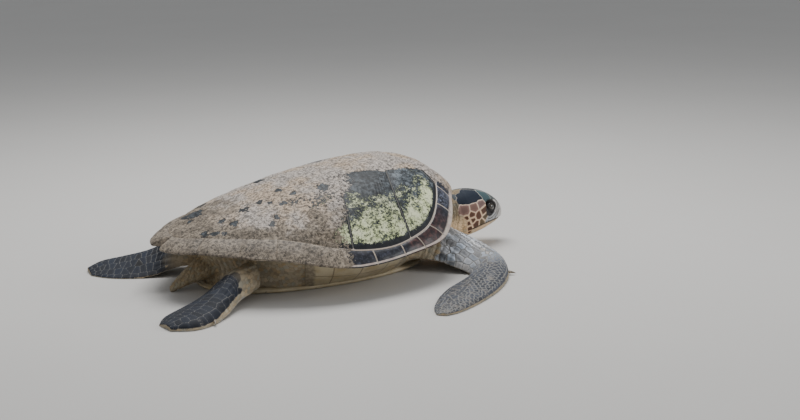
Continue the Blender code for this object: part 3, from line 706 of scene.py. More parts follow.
def makeMarginals(name, node, spans, seed):
    parts, marks = [], {}
    for start, end in spans:
        count = max(int(abs(end - start) / rim["spacing"]), 8)
        wide = abs(math.radians(end - start)) * rim["arcLength"]
        near = np.array(rim["nearEnds"]) / wide
        gap = rim["endGap"] / wide
        t = np.unique(np.concatenate([near, 1 - near, np.linspace(gap, 1 - gap, count)]))
        degrees = start + (end - start) * t
        rows, place = rimSection(degrees)
        along, inner = walked(rows, 1), walked(rows, 0)
        ends = np.minimum(along, along[:, -1:] - along)
        seam = np.minimum(ends, inner)
        normal = unit(np.cross(np.gradient(rows, axis=1), np.gradient(rows, axis=0)))
        if normal[2, rows.shape[1] // 2, 2] < 0:
            normal = -normal
        s, a = shellFront - rows[..., 0], np.abs(degrees)
        sand = ease(s + 0.02 * roughLumps(rows, 0.04, 3), 0.50, 0.56)
        nuchal = 1 - ease(a, 20, 33)
        sand = np.maximum(sand, (0.80 * nuchal)[None, :] + 0.20 * ease(place, 1.0, 1.5)[:, None])
        buried = ease(sand, 0.6, 0.9)
        crown = rim["crown"] * np.sin(math.pi * np.clip(place, 0, 1))[:, None] ** 0.8 * ease(ends, 0, 0.02)
        wave = (0.0005 + 0.0016 * buried) * roughLumps(rows, 0.028, seed) * ease(seam, 0, 0.006)
        fall = edgeFall(seam, rim["groove"], rim["grooveRound"]) * (1 - 0.88 * buried)
        values = {
            "seam": seam, "tip": np.abs(inner - inner[rim["topRows"] - 1]),
            "sand": sand, "damp": dampness(rows),
            "warm": 0.30 + 0.55 * span(a, 40, 56, 64, 72) + 0.15 * ease(a, 100, 140),
            "creamWidth": 0.014 * (1 - ease(a, 44, 62)) + 0.0035,
            # where the marginals carry wear and painted glint
            "worn": 0.12 + 0.88 * span(a, 28, 33, 41, 44),
        }
        rows = rows + normal * (crown + wave - fall)[..., None]
        # the hidden inner wall closes the piece
        rows = np.concatenate([rows, domePoint(*innerSeam(degrees), -rim["wallDepth"])[None]])
        parts.append(rows.swapaxes(0, 1))
        for key, value in values.items():
            value = np.broadcast_to(value, sand.shape)
            wall = np.full((1, len(degrees)), 0.01 if key == "creamWidth" else 0)
            marks.setdefault(key, []).append(np.concatenate([value, wall]).T.ravel())
    marks = {key: np.concatenate(v) for key, v in marks.items()}
    addPiece(name, meshFrom(name, *tubes(parts), marks), marginalMaterial, "marginal_scute", node)


marginalStops = (shell["nuchalAngle"], *shell["marginalSeams"], 180)
for sideName, side in sides.items():
    spans = [(side * a, side * b) for a, b in zip(marginalStops, marginalStops[1:])]
    makeMarginals("marginals_" + sideName, "marginal_rim_" + sideName, spans, 30 + side)
makeMarginals("nuchal_plate", "nuchal_scute", [(-shell["nuchalAngle"], shell["nuchalAngle"])], 33)
print("marginal ring made")


belly = {
    "thickness": 0.014, "halfLength": 0.3975, "halfWidth": 0.235, "centre": 0.0275, "hub": 0.08,
    "bridgeFrom": 62, "bridgeTo": 110, "bridgeThickness": 0.008, "bridgeBelly": 0.0085, "bridgeRows": 26,
    "crossSeams": (0.31, 0.215, 0.075, -0.075, -0.215), "bridgeSeams": (74, 86, 98), "groove": 0.0011,
    "endSink": 0.0105, "endReach": 0.040,
    # the plastron's edge: how far in, and how high
    "edge": ((0.016, 0.0), (0.009, 0.0012), (0.004, 0.004), (0.001, 0.0065), (0.0, 0.009), (0.0, 0.014)),
}


def plastronPoint(degrees, inset, height):
    a = np.radians(np.asarray(degrees, float))
    along = belly["centre"] + (belly["halfLength"] - inset) * np.cos(a)
    side = (belly["halfWidth"] - inset) * np.abs(np.sin(a)) ** 0.8
    return triple(along + shift, np.copysign(side, np.sin(a)), height)


def towardsHub(points):
    return unit(np.array([belly["hub"] + shift, 0, 0]) - points * [1, 1, 0])


def makePlastron():
    degrees = np.linspace(-180, 180, 300, endpoint=False)
    edge = [plastronPoint(degrees, inset, z) for inset, z in belly["edge"]]
    middle = np.array([belly["centre"] + shift, 0, 0])
    under = [middle + (edge[0] - middle) * q for q in np.linspace(0.02, 1, 50)]
    roof = [edge[-1] * [q, q, 1] + middle * [1 - q, 1 - q, 0] for q in (0.7, 0.35, 0.02)]
    points, faces = tube(np.array(under + edge[1:] + roof))
    x, y, z = points.T
    seam = np.abs(y + 0.004 * np.sin(x * 60) + 0.003 * lumps(points * [1, 0, 0], 0.02, 4))
    for place in belly["crossSeams"]:
        curve = place + shift + 0.018 * np.cos(np.abs(y) * 22) + 0.003 * lumps(points * [0, 1, 0], 0.03, 6)
        seam = np.minimum(seam, np.abs(x - curve))
    seam = np.where(z > 0.010, 0.01, seam)
    points[:, 2] += np.where(z < 0.001, belly["groove"] * (1 - ease(seam, 0.0005, 0.003)), 0)
    addPiece("plastron_plates", meshFrom("plastron", points, faces, {"seam": seam}), bellyMaterial,
             "plastron_scute", "plastron")


def makeBridge(sideName, side):
    degrees = side * np.linspace(belly["bridgeFrom"], belly["bridgeTo"], 130)
    foot = rimSection(degrees)[0][-1]
    inward = towardsHub(foot)
    top, base = foot + inward * 0.0006, plastronPoint(degrees, 0.0, belly["thickness"])
    bulge = belly["bridgeBelly"] * unit(np.array([0, side, -0.6]))
    down = np.linspace(0, 1, belly["bridgeRows"])
    rows = [top * (1 - t) + base * t + bulge * math.sin(math.pi * t) for t in down]
    fromEnd = np.minimum(*(np.linalg.norm(foot - foot[k], axis=1) for k in (0, -1)))
    outer = np.array(rows) + inward * (belly["endSink"] * (1 - ease(fromEnd, 0, belly["endReach"])))[:, None]
    rows = np.concatenate([outer, outer[::-1] + inward * belly["bridgeThickness"]])
    # seams across the bridge, and one along it
    level = np.concatenate([down, np.full(len(down), -1)])
    seam = np.minimum(0.01, np.abs(level - 0.55) * 0.10)[:, None] + 0 * degrees
    for mark in belly["bridgeSeams"]:
        seam = np.minimum(seam, np.abs(np.radians(np.abs(degrees) - mark)) * rim["arcLength"])
    rows += inward * (belly["groove"] * (1 - ease(seam, 0.0005, 0.003)))[..., None]
    end = 1 - ease(fromEnd, 0.2 * belly["endReach"], 1.6 * belly["endReach"]) + 0 * seam
    mesh = meshFrom("bridge", *tube(rows.swapaxes(0, 1)), {"seam": seam.T.ravel(), "end": end.T.ravel()})
    addPiece("bridge_plates_" + sideName, mesh, bellyMaterial, "plastron_scute", "bridge_" + sideName)


makePlastron()
for sideName, side in sides.items():
    makeBridge(sideName, side)
print("plastron and bridges made")


# the skin is one surface over head, neck, trunk, flippers and tail
body = {
    "snout": 0.777, "headLength": 0.203,
    # distance back from the snout, or place along X: half width, lowest, widest and highest level
    "head": ((0.000, 0.008, 0.096, 0.103, 0.110), (0.005, 0.018, 0.084, 0.104, 0.122),
             (0.014, 0.028, 0.074, 0.106, 0.137), (0.028, 0.037, 0.067, 0.108, 0.152),
             (0.046, 0.045, 0.061, 0.111, 0.166), (0.068, 0.053, 0.054, 0.114, 0.179),
             (0.093, 0.061, 0.046, 0.117, 0.189), (0.126, 0.069, 0.038, 0.118, 0.196),
             (0.163, 0.073, 0.032, 0.118, 0.199), (0.188, 0.071, 0.032, 0.118, 0.197),
             (0.203, 0.067, 0.035, 0.117, 0.193)),
    "neck": ((0.330, 0.118, 0.040, 0.120, 0.190), (0.400, 0.111, 0.036, 0.118, 0.202),
             (0.460, 0.097, 0.034, 0.116, 0.203), (0.520, 0.080, 0.032, 0.115, 0.199),
             (0.574, 0.067, 0.034, 0.116, 0.191)),
    "tail": ((-0.468, 0.009, 0.000, 0.008, 0.018), (-0.448, 0.019, 0.003, 0.017, 0.037),
             (-0.416, 0.032, 0.012, 0.034, 0.062), (-0.376, 0.047, 0.022, 0.050, 0.090),
             (-0.320, 0.062, 0.030, 0.063, 0.114)),
    # leading edge x, y, trailing edge x, y, underside and top, from the shoulder out
    "front": (
        (0.0, 0.360, 0.120, 0.230, 0.210, 0.045, 0.130), (1.0, 0.475, 0.122, 0.335, 0.250, 0.040, 0.128),
        (2.0, 0.545, 0.165, 0.395, 0.315, 0.018, 0.095), (3.0, 0.582, 0.235, 0.420, 0.352, 0.003, 0.068),
        (4.0, 0.575, 0.330, 0.397, 0.380, 0.000, 0.054), (5.0, 0.510, 0.445, 0.350, 0.408, 0.000, 0.044),
        (6.0, 0.410, 0.545, 0.272, 0.455, 0.000, 0.036), (7.0, 0.290, 0.625, 0.190, 0.530, 0.000, 0.028),
        (8.0, 0.175, 0.678, 0.122, 0.618, 0.000, 0.019), (8.6, 0.128, 0.684, 0.104, 0.662, 0.000, 0.012)),
    "hind": (
        (0.0, -0.250, 0.235, -0.270, 0.100, 0.040, 0.120), (1.0, -0.345, 0.285, -0.375, 0.155, 0.030, 0.105),
        (2.0, -0.415, 0.345, -0.450, 0.175, 0.008, 0.066), (3.0, -0.490, 0.400, -0.530, 0.210, 0.000, 0.042),
        (4.0, -0.560, 0.412, -0.592, 0.262, 0.000, 0.029), (4.7, -0.612, 0.385, -0.622, 0.312, 0.000, 0.016)),
    "edge": 0.004, "voxel": 0.0030, "underShell": 0.0145, "recess": 0.0104, "inward": 0.0008,
    "trunkShares": (0.05, 0.2, 0.4, 0.62, 0.8, 0.93, 1.0),
    "trunkDrops": (0.0, 0.15, 0.35, 0.55, 0.75, 0.9, 1.0),
    # places beside the middle, and reach, where limbs and trunk are blended
    "softJoins": ((-0.262, 0.195, 0.085), (-0.262, 0.130, 0.070), (0.300, 0.190, 0.060)), "softPasses": 110,
    "hipAt": 0.22, "hipStretch": 1.4, "hipFade": (0.180, 0.245), "trunkMiddle": 0.38, "hollow": 0.045,
    "headRings": 60, "neckRings": 40, "tailRings": 30, "ringPoints": 56,
}


def placed(place, side):
    return np.array([place[0] + shift, side * place[1], place[2]])


def around(count):
    return np.linspace(0, 2 * math.pi, count, endpoint=False)


def ovalRings(xs, rows, turns, power=2.3):
    c, u = np.cos(turns), np.sin(turns)
    half, low, middle, high = rows.T[:, :, None]
    y = half * np.copysign(np.abs(c) ** (2 / power), c)
    z = middle + np.where(u > 0, high - middle, middle - low) * np.copysign(np.abs(u) ** (2 / power), u)
    return triple(np.asarray(xs)[:, None] + shift, y, z)


def bladePoint(stations, place, across, side, top=True):
    leadX, leadY, trailX, trailY, low, high = track(stations, place).T
    low = np.maximum(low, 0)
    thick = np.maximum(high - low - body["edge"], 0.003)
    swell = 2.6 * math.sqrt(across) * (1 - across)
    z = low + body["edge"] + thick * swell if top else low - 0.35 * low * swell
    return triple(leadX + (trailX - leadX) * across + shift, side * (leadY + (trailY - leadY) * across), z)


def bladeRings(stations, side, rows=70, count=24):
    places = np.linspace(0, stations[-1][0], rows)
    acrosses = (1 - np.cos(np.linspace(0, math.pi, count))) / 2
    top = [bladePoint(stations, places, u, side) for u in acrosses]
    low = [bladePoint(stations, places, u, side, False) for u in acrosses[::-1]]
    return np.array(top + low).swapaxes(0, 1)


def trunkRings():
    degrees = np.arange(0, 360, 2.5)
    signed = np.where(degrees <= 180, degrees, degrees - 360)
    middle = np.array([body["trunkMiddle"], 0.0])
    edge = np.stack(ringPoint(signed, seamInset(signed) + 0.002), axis=-1)
    rings = [domePoint(*(middle + (edge - middle) * q).T, -body["underShell"]) for q in body["trunkShares"]]
    foot = rimSection(signed)[0][-1]
    base = plastronPoint(signed, 0.0, belly["thickness"] + 0.0005)
    ends = np.abs(signed)
    openEnd = 1 - span(ends, 35, 58, 112, 135)
    for drop in body["trunkDrops"]:
        point = foot * (1 - drop) + base * drop
        recess = body["recess"] + body["hollow"] * openEnd * math.sin(math.pi * drop) ** 0.5
        rings.append(point + towardsHub(point) * recess[:, None])
    shrunk = rings[-1].mean(0)
    return np.array([*rings, shrunk + (rings[-1] - shrunk) * 0.05])


def rawSkin():
    snout, length = body["snout"], body["headLength"]
    back = length * np.linspace(0, 1, body["headRings"]) ** 1.5
    neckX = np.linspace(body["neck"][0][0], snout - length + 0.01, body["neckRings"])
    tailX = np.linspace(body["tail"][0][0], body["tail"][-1][0], body["tailRings"])
    turns = around(body["ringPoints"])
    parts = [ovalRings(snout - back, track(body["head"], back), turns),
             ovalRings(neckX, track(body["neck"], neckX), turns),
             ovalRings(tailX, track(body["tail"], tailX), turns, 2.0), trunkRings()]
    parts += [bladeRings(body[pair], side) for side in sides.values() for pair in ("front", "hind")]
    # each part's faces point outwards before they are fused
    raw = toScene("rawSkin", meshFrom("rawSkin", *tubes(parts)))
    fuse = raw.modifiers.new("fuse", "REMESH")
    fuse.mode, fuse.voxel_size = "VOXEL", body["voxel"]
    relax = raw.modifiers.new("relax", "SMOOTH")
    relax.factor, relax.iterations = 0.5, 5
    made = bpy.data.meshes.new_from_object(raw.evaluated_get(bpy.context.evaluated_depsgraph_get()))
    bpy.data.objects.remove(raw)
    return made


def readPoints(rows, key):
    values = np.empty(len(rows) * 3, np.float32)
    rows.foreach_get(key, values)
    return values.reshape(-1, 3).astype(float)


def fromHip(x, y):
    return np.hypot(x + body["hipAt"], y / body["hipStretch"])


def needsDetail(place):
    x, y, z = place.x - shift, abs(place.y), place.z
    onHead = x > 0.575 and y < 0.09
    return onHead or (x > 0.12 and y > 0.135 and z < 0.10 and (x > 0.40 or y > 0.36))


def refineSkin(mesh):
    # finer faces on the head and flippers, coarser ones where the shell hides the skin
    bm = bmesh.new()
    bm.from_mesh(mesh)
    edges = {edge for face in bm.faces if needsDetail(face.calc_center_median()) for edge in face.edges}
    bmesh.ops.subdivide_edges(bm, edges=list(edges), cuts=1, use_grid_fill=True)
    bm.to_mesh(mesh)
    bm.free()


def softenJoins(mesh):
    # rounds the skin where the root of a limb stands out of the trunk
    co = readPoints(mesh.vertices, "co")
    ends = np.empty(len(mesh.edges) * 2, np.int32)
    mesh.edges.foreach_get("vertices", ends)
    ends = ends.reshape(-1, 2)
    share = np.zeros(len(co))
    for x, y, reach in body["softJoins"]:
        away = np.hypot(co[:, 0] - shift - x, np.abs(co[:, 1]) - y)
        share = np.maximum(share, 1 - ease(away, 0.5 * reach, reach))
    near = ends[(share[ends] > 0).any(axis=1)]
    starts, others = np.concatenate([near, near[:, ::-1]]).T
    count = np.maximum(np.bincount(starts, minlength=len(co)), 1)
    for _ in range(body["softPasses"]):
        mean = triple(*(np.bincount(starts, co[others, k], len(co)) / count for k in range(3)))
        co += (mean - co) * (0.9 * share)[:, None]
    mesh.vertices.foreach_set("co", co.astype(np.float32).ravel())
    mesh.update()


skinMesh = rawSkin()
softenJoins(skinMesh)
print("skin fused,", len(skinMesh.polygons), "faces")
refineSkin(skinMesh)
print("skin refined,", len(skinMesh.polygons), "faces")

# head scales: tone, and places as (distance back from the snout, angle up round the section)
headScales = {
    "temple": ("temple", ((0.126, 46), (0.126, 56), (0.135, 66), (0.140, 42), (0.153, 39), (0.166, 37),
                          (0.180, 37), (0.192, 38), (0.204, 42), (0.150, 70), (0.172, 70), (0.194, 62))),
    "supraocular": ("brow", ((0.092, 50), (0.104, 60), (0.082, 52))),
    "nape": ("nape", ((0.216, 70), (0.220, 56))),
    "prefrontal": ("crown", ((0.052, 62), (0.040, 66))),
    "postocularUpper": ("cheek", ((0.124, 24),)),
    "postocularMiddle": ("cheek", ((0.155, 14), (0.150, 18), (0.160, 18))),
    "cheekRear": ("cheek", ((0.184, 17), (0.194, 18), (0.204, 20), (0.186, 9), (0.197, 8), (0.206, 11))),
    "postocularSmall": ("dot", ((0.112, 4),)),
    "cheekMiddle": ("cheekDark", ((0.136, -2),)),
    "cheekDot": ("cheekDark", ((0.164, 1),)),
    "underEye": ("cheekOlive", ((0.103, -9),)),
    "cheekLower": ("cheekDark", ((0.144, -21),)),
    "lipMiddle": ("cheekOlive", ((0.116, -20),)),
    "dotOne": ("dot", ((0.176, -15),)),
    "dotTwo": ("dot", ((0.160, -9),)),
    "dotThree": ("dot", ((0.170, -31),)),
    "dotFour": ("dot", ((0.162, -47),)),
    "dotFive": ("dot", ((0.187, -4),)),
    "lipFront": ("snout", ((0.085, -20), (0.070, -15), (0.055, -15))),
    "snoutSide": ("snout", ((0.040, 5), (0.025, 15), (0.020, -10), (0.045, 30))),
    "jawSide": ("jaw", ((0.110, -45), (0.085, -48), (0.130, -48))),
    "jawTip": ("jaw", ((0.050, -55), (0.030, -60))),
    "throatFront": ("throat", ((0.150, -62),)),
}
crownScales = {
    "frontal": ("crown", ((0.096, 90),)),
    "frontoparietal": ("temple", ((0.128, 90), (0.140, 90))),
    "snoutTop": ("snout", ((0.012, 88),)),
}
tones = {
    # tone: colour, border colour, half width of the border, height of the scale
    "temple": ((0.012, 0.018, 0.029), (0.56, 0.52, 0.46), 0.0011, 0.0006),
    "brow": ((0.050, 0.084, 0.091), (0.48, 0.48, 0.42), 0.0013, 0.0008),
    "crown": ((0.105, 0.118, 0.120), (0.46, 0.43, 0.37), 0.0011, 0.0005),
    "nape": ((0.100, 0.108, 0.110), (0.34, 0.31, 0.25), 0.0012, 0.0006),
    "cheek": ((0.300, 0.185, 0.160), (0.86, 0.64, 0.49), 0.0024, 0.0006),
    "cheekDark": ((0.165, 0.080, 0.052), (0.86, 0.62, 0.43), 0.0028, 0.0006),
    "dot": ((0.135, 0.064, 0.040), (0.86, 0.62, 0.41), 0.0042, 0.0005),
    "cheekOlive": ((0.205, 0.140, 0.078), (0.86, 0.64, 0.45), 0.0028, 0.0006),
    "snout": ((0.60, 0.565, 0.53), (0.50, 0.47, 0.44), 0.0006, 0.0002),
    "jaw": ((0.64, 0.45, 0.28), (0.80, 0.60, 0.41), 0.0014, 0.0004),
    "throat": ((0.80, 0.58, 0.35), (0.60, 0.43, 0.26), 0.0008, 0.0006),
    "neck": ((0.290, 0.235, 0.155), (0.180, 0.145, 0.098), 0.0008, 0.0010),
    "soft": (*softTones, 0.0008, 0.0008),
    "arm": ((0.400, 0.412, 0.435), (0.80, 0.78, 0.73), 0.0020, 0.0013),
    "armUnder": ((0.40, 0.375, 0.33), (0.56, 0.52, 0.43), 0.0013, 0.0006),
    "leg": ((0.022, 0.026, 0.037), (0.145, 0.142, 0.135), 0.0011, 0.0007),
    "tail": ((0.360, 0.290, 0.185), (0.240, 0.190, 0.125), 0.0009, 0.0008),
}
flipperRows = {
    # share of the way across from the leading edge, length of one scale, its seeds
    "front": ((0.03, 0.082, 3), (0.09, 0.096, 4), (0.15, 0.100, 4), (0.215, 0.092, 4), (0.285, 0.080, 3),
              (0.36, 0.066, 3), (0.44, 0.054, 2), (0.53, 0.044, 2), (0.63, 0.036, 1), (0.74, 0.032, 1),
              (0.85, 0.030, 1), (0.96, 0.032, 1)),
    "hind": ((0.05, 0.030, 1), (0.24, 0.022, 1), (0.44, 0.019, 1), (0.64, 0.019, 1), (0.82, 0.022, 1),
             (0.97, 0.026, 1)),
}
scaleChance = {"start": 0.35, "sideways": 0.010, "length": 0.12, "probe": 0.05, "slowest": 0.02}
skinTint = {
    # lid colours the dark lids, the painted shade round the eye and the beak's arcs; slit colours the painted
    # shade in the mouth line and nostrils
    "lid": (0.034, 0.030, 0.030), "slitShade": (0.018, 0.013, 0.011),
    "lowNeck": (0.960, 0.700, 0.430), "lowNeckLine": (0.460, 0.330, 0.200),
    "blade": (0.060, 0.066, 0.082), "bladeSpan": (0.25, 0.44), "variety": 0.13, "armVariety": 0.17,
    "heart": 0.30, "streakTurn": (0.90, 0.43), "streakSize": 0.0065, "streakSpan": (0.26, 0.36),
}


class Seeds:
    # middles of all scales, each with the number of its scale and its tone
    def __init__(self):
        self.points, self.scales, self.toneNames = [], [], []
        self.count = 0
        self.apart = 0.05  # the two faces of a flipper are read this much further apart

    def scale(self, tone, points):
        for p in points:
            self.points.append(tuple(p))
            self.scales.append(self.count)
            self.toneNames.append(tone)
        self.count += 1

    def tree(self):
        made = kdtree.KDTree(len(self.points))
        for k, p in enumerate(self.points):
            made.insert(p, k)
        made.balance()
        return made


def headPoint(back, degrees, side):
    ring = ovalRings([body["snout"] - back], track(body["head"], back), [math.radians(degrees)])
    return ring[0, 0] * [1, side, 1]


def plantHead(seeds):
    for side, scales in ((1, headScales), (-1, headScales), (1, crownScales)):
        for tone, places in scales.values():
            seeds.scale(tone, [headPoint(back, degrees, side) for back, degrees in places])


def plantFlipper(seeds, kind, side, start, tone):
    stations = body[kind]
    for top in (True, False):
        for across, length, count in flipperRows[kind]:
            place = start + scaleChance["start"] * chance.random()
            while place < stations[-1][0]:
                # metres of blade for each step along its stations
                probe = scaleChance["probe"]
                here, ahead = bladePoint(stations, [place, place + probe], across, side, top)
                pace = max(np.linalg.norm(ahead - here) / probe, scaleChance["slowest"])
                shy = np.clip(across + chance.normal(0, scaleChance["sideways"]), 0.01, 0.99)
                step = length / pace * (1 + chance.normal(0, scaleChance["length"]))
                at = np.minimum(place + step * np.arange(count) / count, stations[-1][0])
                points = bladePoint(stations, at, shy, side, top)
                points[:, 2] += seeds.apart * ease(at, 1.0, 2.2) * (1 if top else -1)
                seeds.scale(tone if top else "armUnder", points)
                place += step


def softKind(x, y, z):
    # tone of a small scale, how far it keeps from its own kind and how far from larger ones
    if x > 0.585 and y < 0.09:
        return "throat", 0.0085, 0.014 if z <= 0.055 + max(0.596 - x, 0) * 2.0 else math.inf
    if x > 0.30 and y < 0.13:
        return "neck", 0.0070, 0.019 if x > 0.545 and z > 0.10 else 0.012
    if x < -0.30 and y < 0.07:
        return "tail", 0.0075, 0.012
    return "soft", 0.0098, 0.023 if x < 0 else 0.018


def plantSoft(seeds, co, cell=0.014):
    # small scales fill whatever the larger ones leave free
    tree, taken = seeds.tree(), {}
    steps = (-1, 0, 1)
    for index in chance.permutation(len(co))[: len(co) // 2]:
        spot = tuple(co[index])
        tone, reach, free = softKind(spot[0] - shift, abs(spot[1]), spot[2])
        a, b, c = (int(v // cell) for v in spot)
        boxes = [taken.get((a + i, b + j, c + k), ()) for i in steps for j in steps for k in steps]
        if any(math.dist(q, spot) < reach for box in boxes for q in box) or tree.find(spot)[2] < free:
            continue
        taken.setdefault((a, b, c), []).append(spot)
        seeds.scale(tone, [spot])


def readScales(seeds, co):
    # for each point: its seed, and the distance to the border with the next scale
    tree, scales = seeds.tree(), seeds.scales
    own, border = np.empty(len(co), int), np.full(len(co), 0.02)
    for n, p in enumerate(co):
        (spot, first, near), *rest = tree.find_n(p, 7)
        own[n] = first
        for other, second, far in rest:
            if scales[second] != scales[first]:
                apart = max((spot - other).length, 1e-6)
                border[n] = min(border[n], (far * far - near * near) / (2 * apart))
    return own, border


co = readPoints(skinMesh.vertices, "co")
skinMesh.update()
normal = readPoints(skinMesh.vertex_normals, "vector")
seeds = Seeds()
plantHead(seeds)
for side in sides.values():
    plantFlipper(seeds, "front", side, 1.15, "arm")
    plantFlipper(seeds, "hind", side, 0.9, "leg")
plantSoft(seeds, co)
print("scales planted,", seeds.count)
x, y, z = co[:, 0] - shift, np.abs(co[:, 1]), co[:, 2]
outerArm = ease(y, 0.15, 0.24) * (x > 0.1) * (z < 0.12)
outerLeg = ease(fromHip(x, y), 0.19, 0.27) * (x < -0.2) * (y > 0.12)
facing = np.clip(normal[:, 2] * 2.5, -1, 1) * np.clip(outerArm + outerLeg, 0, 1)
own, border = readScales(seeds, triple(co[:, 0], co[:, 1], z + seeds.apart * facing))
print("scales read")

eye = {
    "place": (0.705, 0.0385, 0.131), "facing": (0.16, 0.94, 0.26), "ball": 0.0168, "lid": 0.0016,
    # dark is the reach of the dark lids and the painted shade round the eye; darkDrop lowers its middle
    "opening": (0.0152, 0.0100), "tilt": -38, "dark": (0.0325, 0.0300), "darkDrop": 0.004,
    # dark arcs on the beak before and below the eye: how far from its middle, half width, strength
    "arcs": ((0.0355, 0.0026, 1.0), (0.0420, 0.0016, 0.9), (0.0480, 0.0026, 1.0)),
    "arcFrom": 40, "arcTo": -125,
    # folds of the lids: how far outside the opening, depth and half width
    "creases": ((1.42, 0.0008, 0.07), (1.70, 0.0009, 0.09), (2.10, 0.0007, 0.10)), "creaseWander": 0.16,
    "ballSink": 0.0035, "lidSpan": (1.25, 2.3), "openSpan": (0.90, 1.02), "lidReach": 0.034,
    "bulge": 0.035, "bulgeSpan": (0.30, 0.62), "irisSpan": (0.52, 0.60), "pupilSpan": (0.27, 0.31),
    # swellings and hollows round the eye: middle, reach and height
    "relief": (((0.697, 0.040, 0.157), 0.016, 0.0018), ((0.735, 0.036, 0.120), 0.013, -0.0020),
               ((0.640, 0.066, 0.125), 0.030, 0.0012), ((0.690, 0.052, 0.100), 0.012, -0.0012)),
}
mouth = {
    "line": ((0.596, 0.052), (0.610, 0.060), (0.622, 0.067), (0.655, 0.0740), (0.690, 0.0795),
             (0.720, 0.0825), (0.750, 0.0845), (0.777, 0.0850)),
    "corner": 0.607, "groove": 0.0045, "grooveWidth": 0.0024, "lineWidth": 0.0052, "lineDrop": 0.0015,
    "lip": 0.0009, "jawInset": 0.0030, "nostril": (0.7685, 0.0088, 0.1195), "nostrilSize": 0.0024,
}
folds = {
    # neck folds at places along X, in metres; depth and half width
    "neck": (0.350, 0.372, 0.391, 0.412, 0.430, 0.449, 0.467, 0.484, 0.502, 0.519, 0.534, 0.548, 0.560),
    "depth": 0.0030, "width": 0.0036, "wander": 0.006, "limbDepth": 0.0022,
}


def distanceTo(co, place, side):
    return np.linalg.norm(co - placed(place, side), axis=1)


def mouthLine(x):
    return np.interp(x, *zip(*mouth["line"]))


def eyeAxes(side):
    # directions out of the eye, forward along the head and up
    out = unit(np.array(eye["facing"]) * [1, side, 1])
    forward = unit(np.array([1, 0, 0]) - out * out[0])
    return np.array([out, forward, np.cross(forward, out) * side])


def eyeField(co, side):
    # height over the eye's middle, and places forward and up across the eye
    return eyeAxes(side) @ (co - placed(eye["place"], side)).T


def shapeHead(co, normal):
    x, y, z = co[:, 0] - shift, co[:, 1], co[:, 2]
    # mouth: a groove under an overhanging upper lip
    dz, corner = z - mouthLine(x), mouth["corner"]
    inMouth = ease(x, corner - 0.006, corner + 0.004) * ease(x, 0.585, 0.600) * (np.abs(y) < 0.09)
    push = -mouth["groove"] * hump(dz, 0, mouth["grooveWidth"])
    push += mouth["lip"] * span(dz, 0.0006, 0.002, 0.004, 0.012)
    push -= mouth["jawInset"] * span(-dz, 0, 0.0015, 0.008, 0.022) * ease(x, 0.62, 0.66)
    push *= inMouth
    for side in sides.values():
        away = distanceTo(co, mouth["nostril"], side)
        push += 0.0006 * hump(away, 0.0045, 0.0016) - 0.0032 * hump(away, 0, mouth["nostrilSize"])
        for spot, reach, height in eye["relief"]:
            push += height * hump(distanceTo(co, spot, side), 0, reach)
    moved = co + normal * push[:, None]
    # eyelids lie on the ball, and the opening shows it
    for side in sides.values():
        h, a, b = eyeField(moved, side)
        tilt = math.radians(eye["tilt"])
        along = a * math.cos(tilt) + b * math.sin(tilt)
        across = b * math.cos(tilt) - a * math.sin(tilt)
        q, flat = np.hypot(along / eye["opening"][0], across / eye["opening"][1]), np.hypot(a, b)
        lidTop = np.sqrt(np.maximum((eye["ball"] + eye["lid"]) ** 2 - flat**2, 0))
        ballTop = np.sqrt(np.maximum(eye["ball"] ** 2 - flat**2, 0)) - eye["ballSink"]
        astray = q + eye["creaseWander"] * lumps(moved, 0.012, 55) * np.clip(q - 1, 0, 1)
        crease = -sum(depth * hump(astray, at, half) for at, depth, half in eye["creases"])
        target = h + (lidTop - h) * (1 - ease(q, *eye["lidSpan"])) + 0.0010 * hump(q, 1.12, 0.12) + crease
        target += (ballTop - target) * (1 - ease(q, *eye["openSpan"]))
        moved += eyeAxes(side)[0] * np.where((h > 0) & (flat < eye["lidReach"]), target - h, 0)[:, None]
    return moved


def neckFolds(co):
    x = co[:, 0] - shift
    wander = folds["wander"] * lumps(co * [0.3, 1, 1], 0.05, 21) + 0.004 * lumps(co * [0.3, 1, 1], 0.02, 22)
    depth = sum((0.75 + 0.45 * lumps(co * [0, 1, 1] + k, 0.06, 23)) * hump(x, place - wander, folds["width"])
                for k, place in enumerate(folds["neck"]))
    inNeck = span(x, 0.33, 0.36, 0.560, 0.575) * (np.abs(co[:, 1]) < 0.13) * (co[:, 2] < 0.22)
    return -folds["depth"] * np.clip(depth, 0, 1.3) * inNeck


def limbFolds(co):
    # creases where the limbs leave the body
    x, y = co[:, 0] - shift, np.abs(co[:, 1])
    shoulder = span(x, 0.25, 0.33, 0.50, 0.58) * span(y, 0.11, 0.15, 0.26, 0.34)
    hip = span(-x, 0.24, 0.28, 0.40, 0.47) * (1 - ease(y, 0.30, 0.38))
    phase = (x * 0.6 + y * 1.1) * 2 * math.pi / 0.021 + 2.2 * lumps(co, 0.04, 31)
    return -folds["limbDepth"] * (0.5 - 0.5 * np.sin(phase)) ** 2 * np.clip(shoulder + hip, 0, 1)


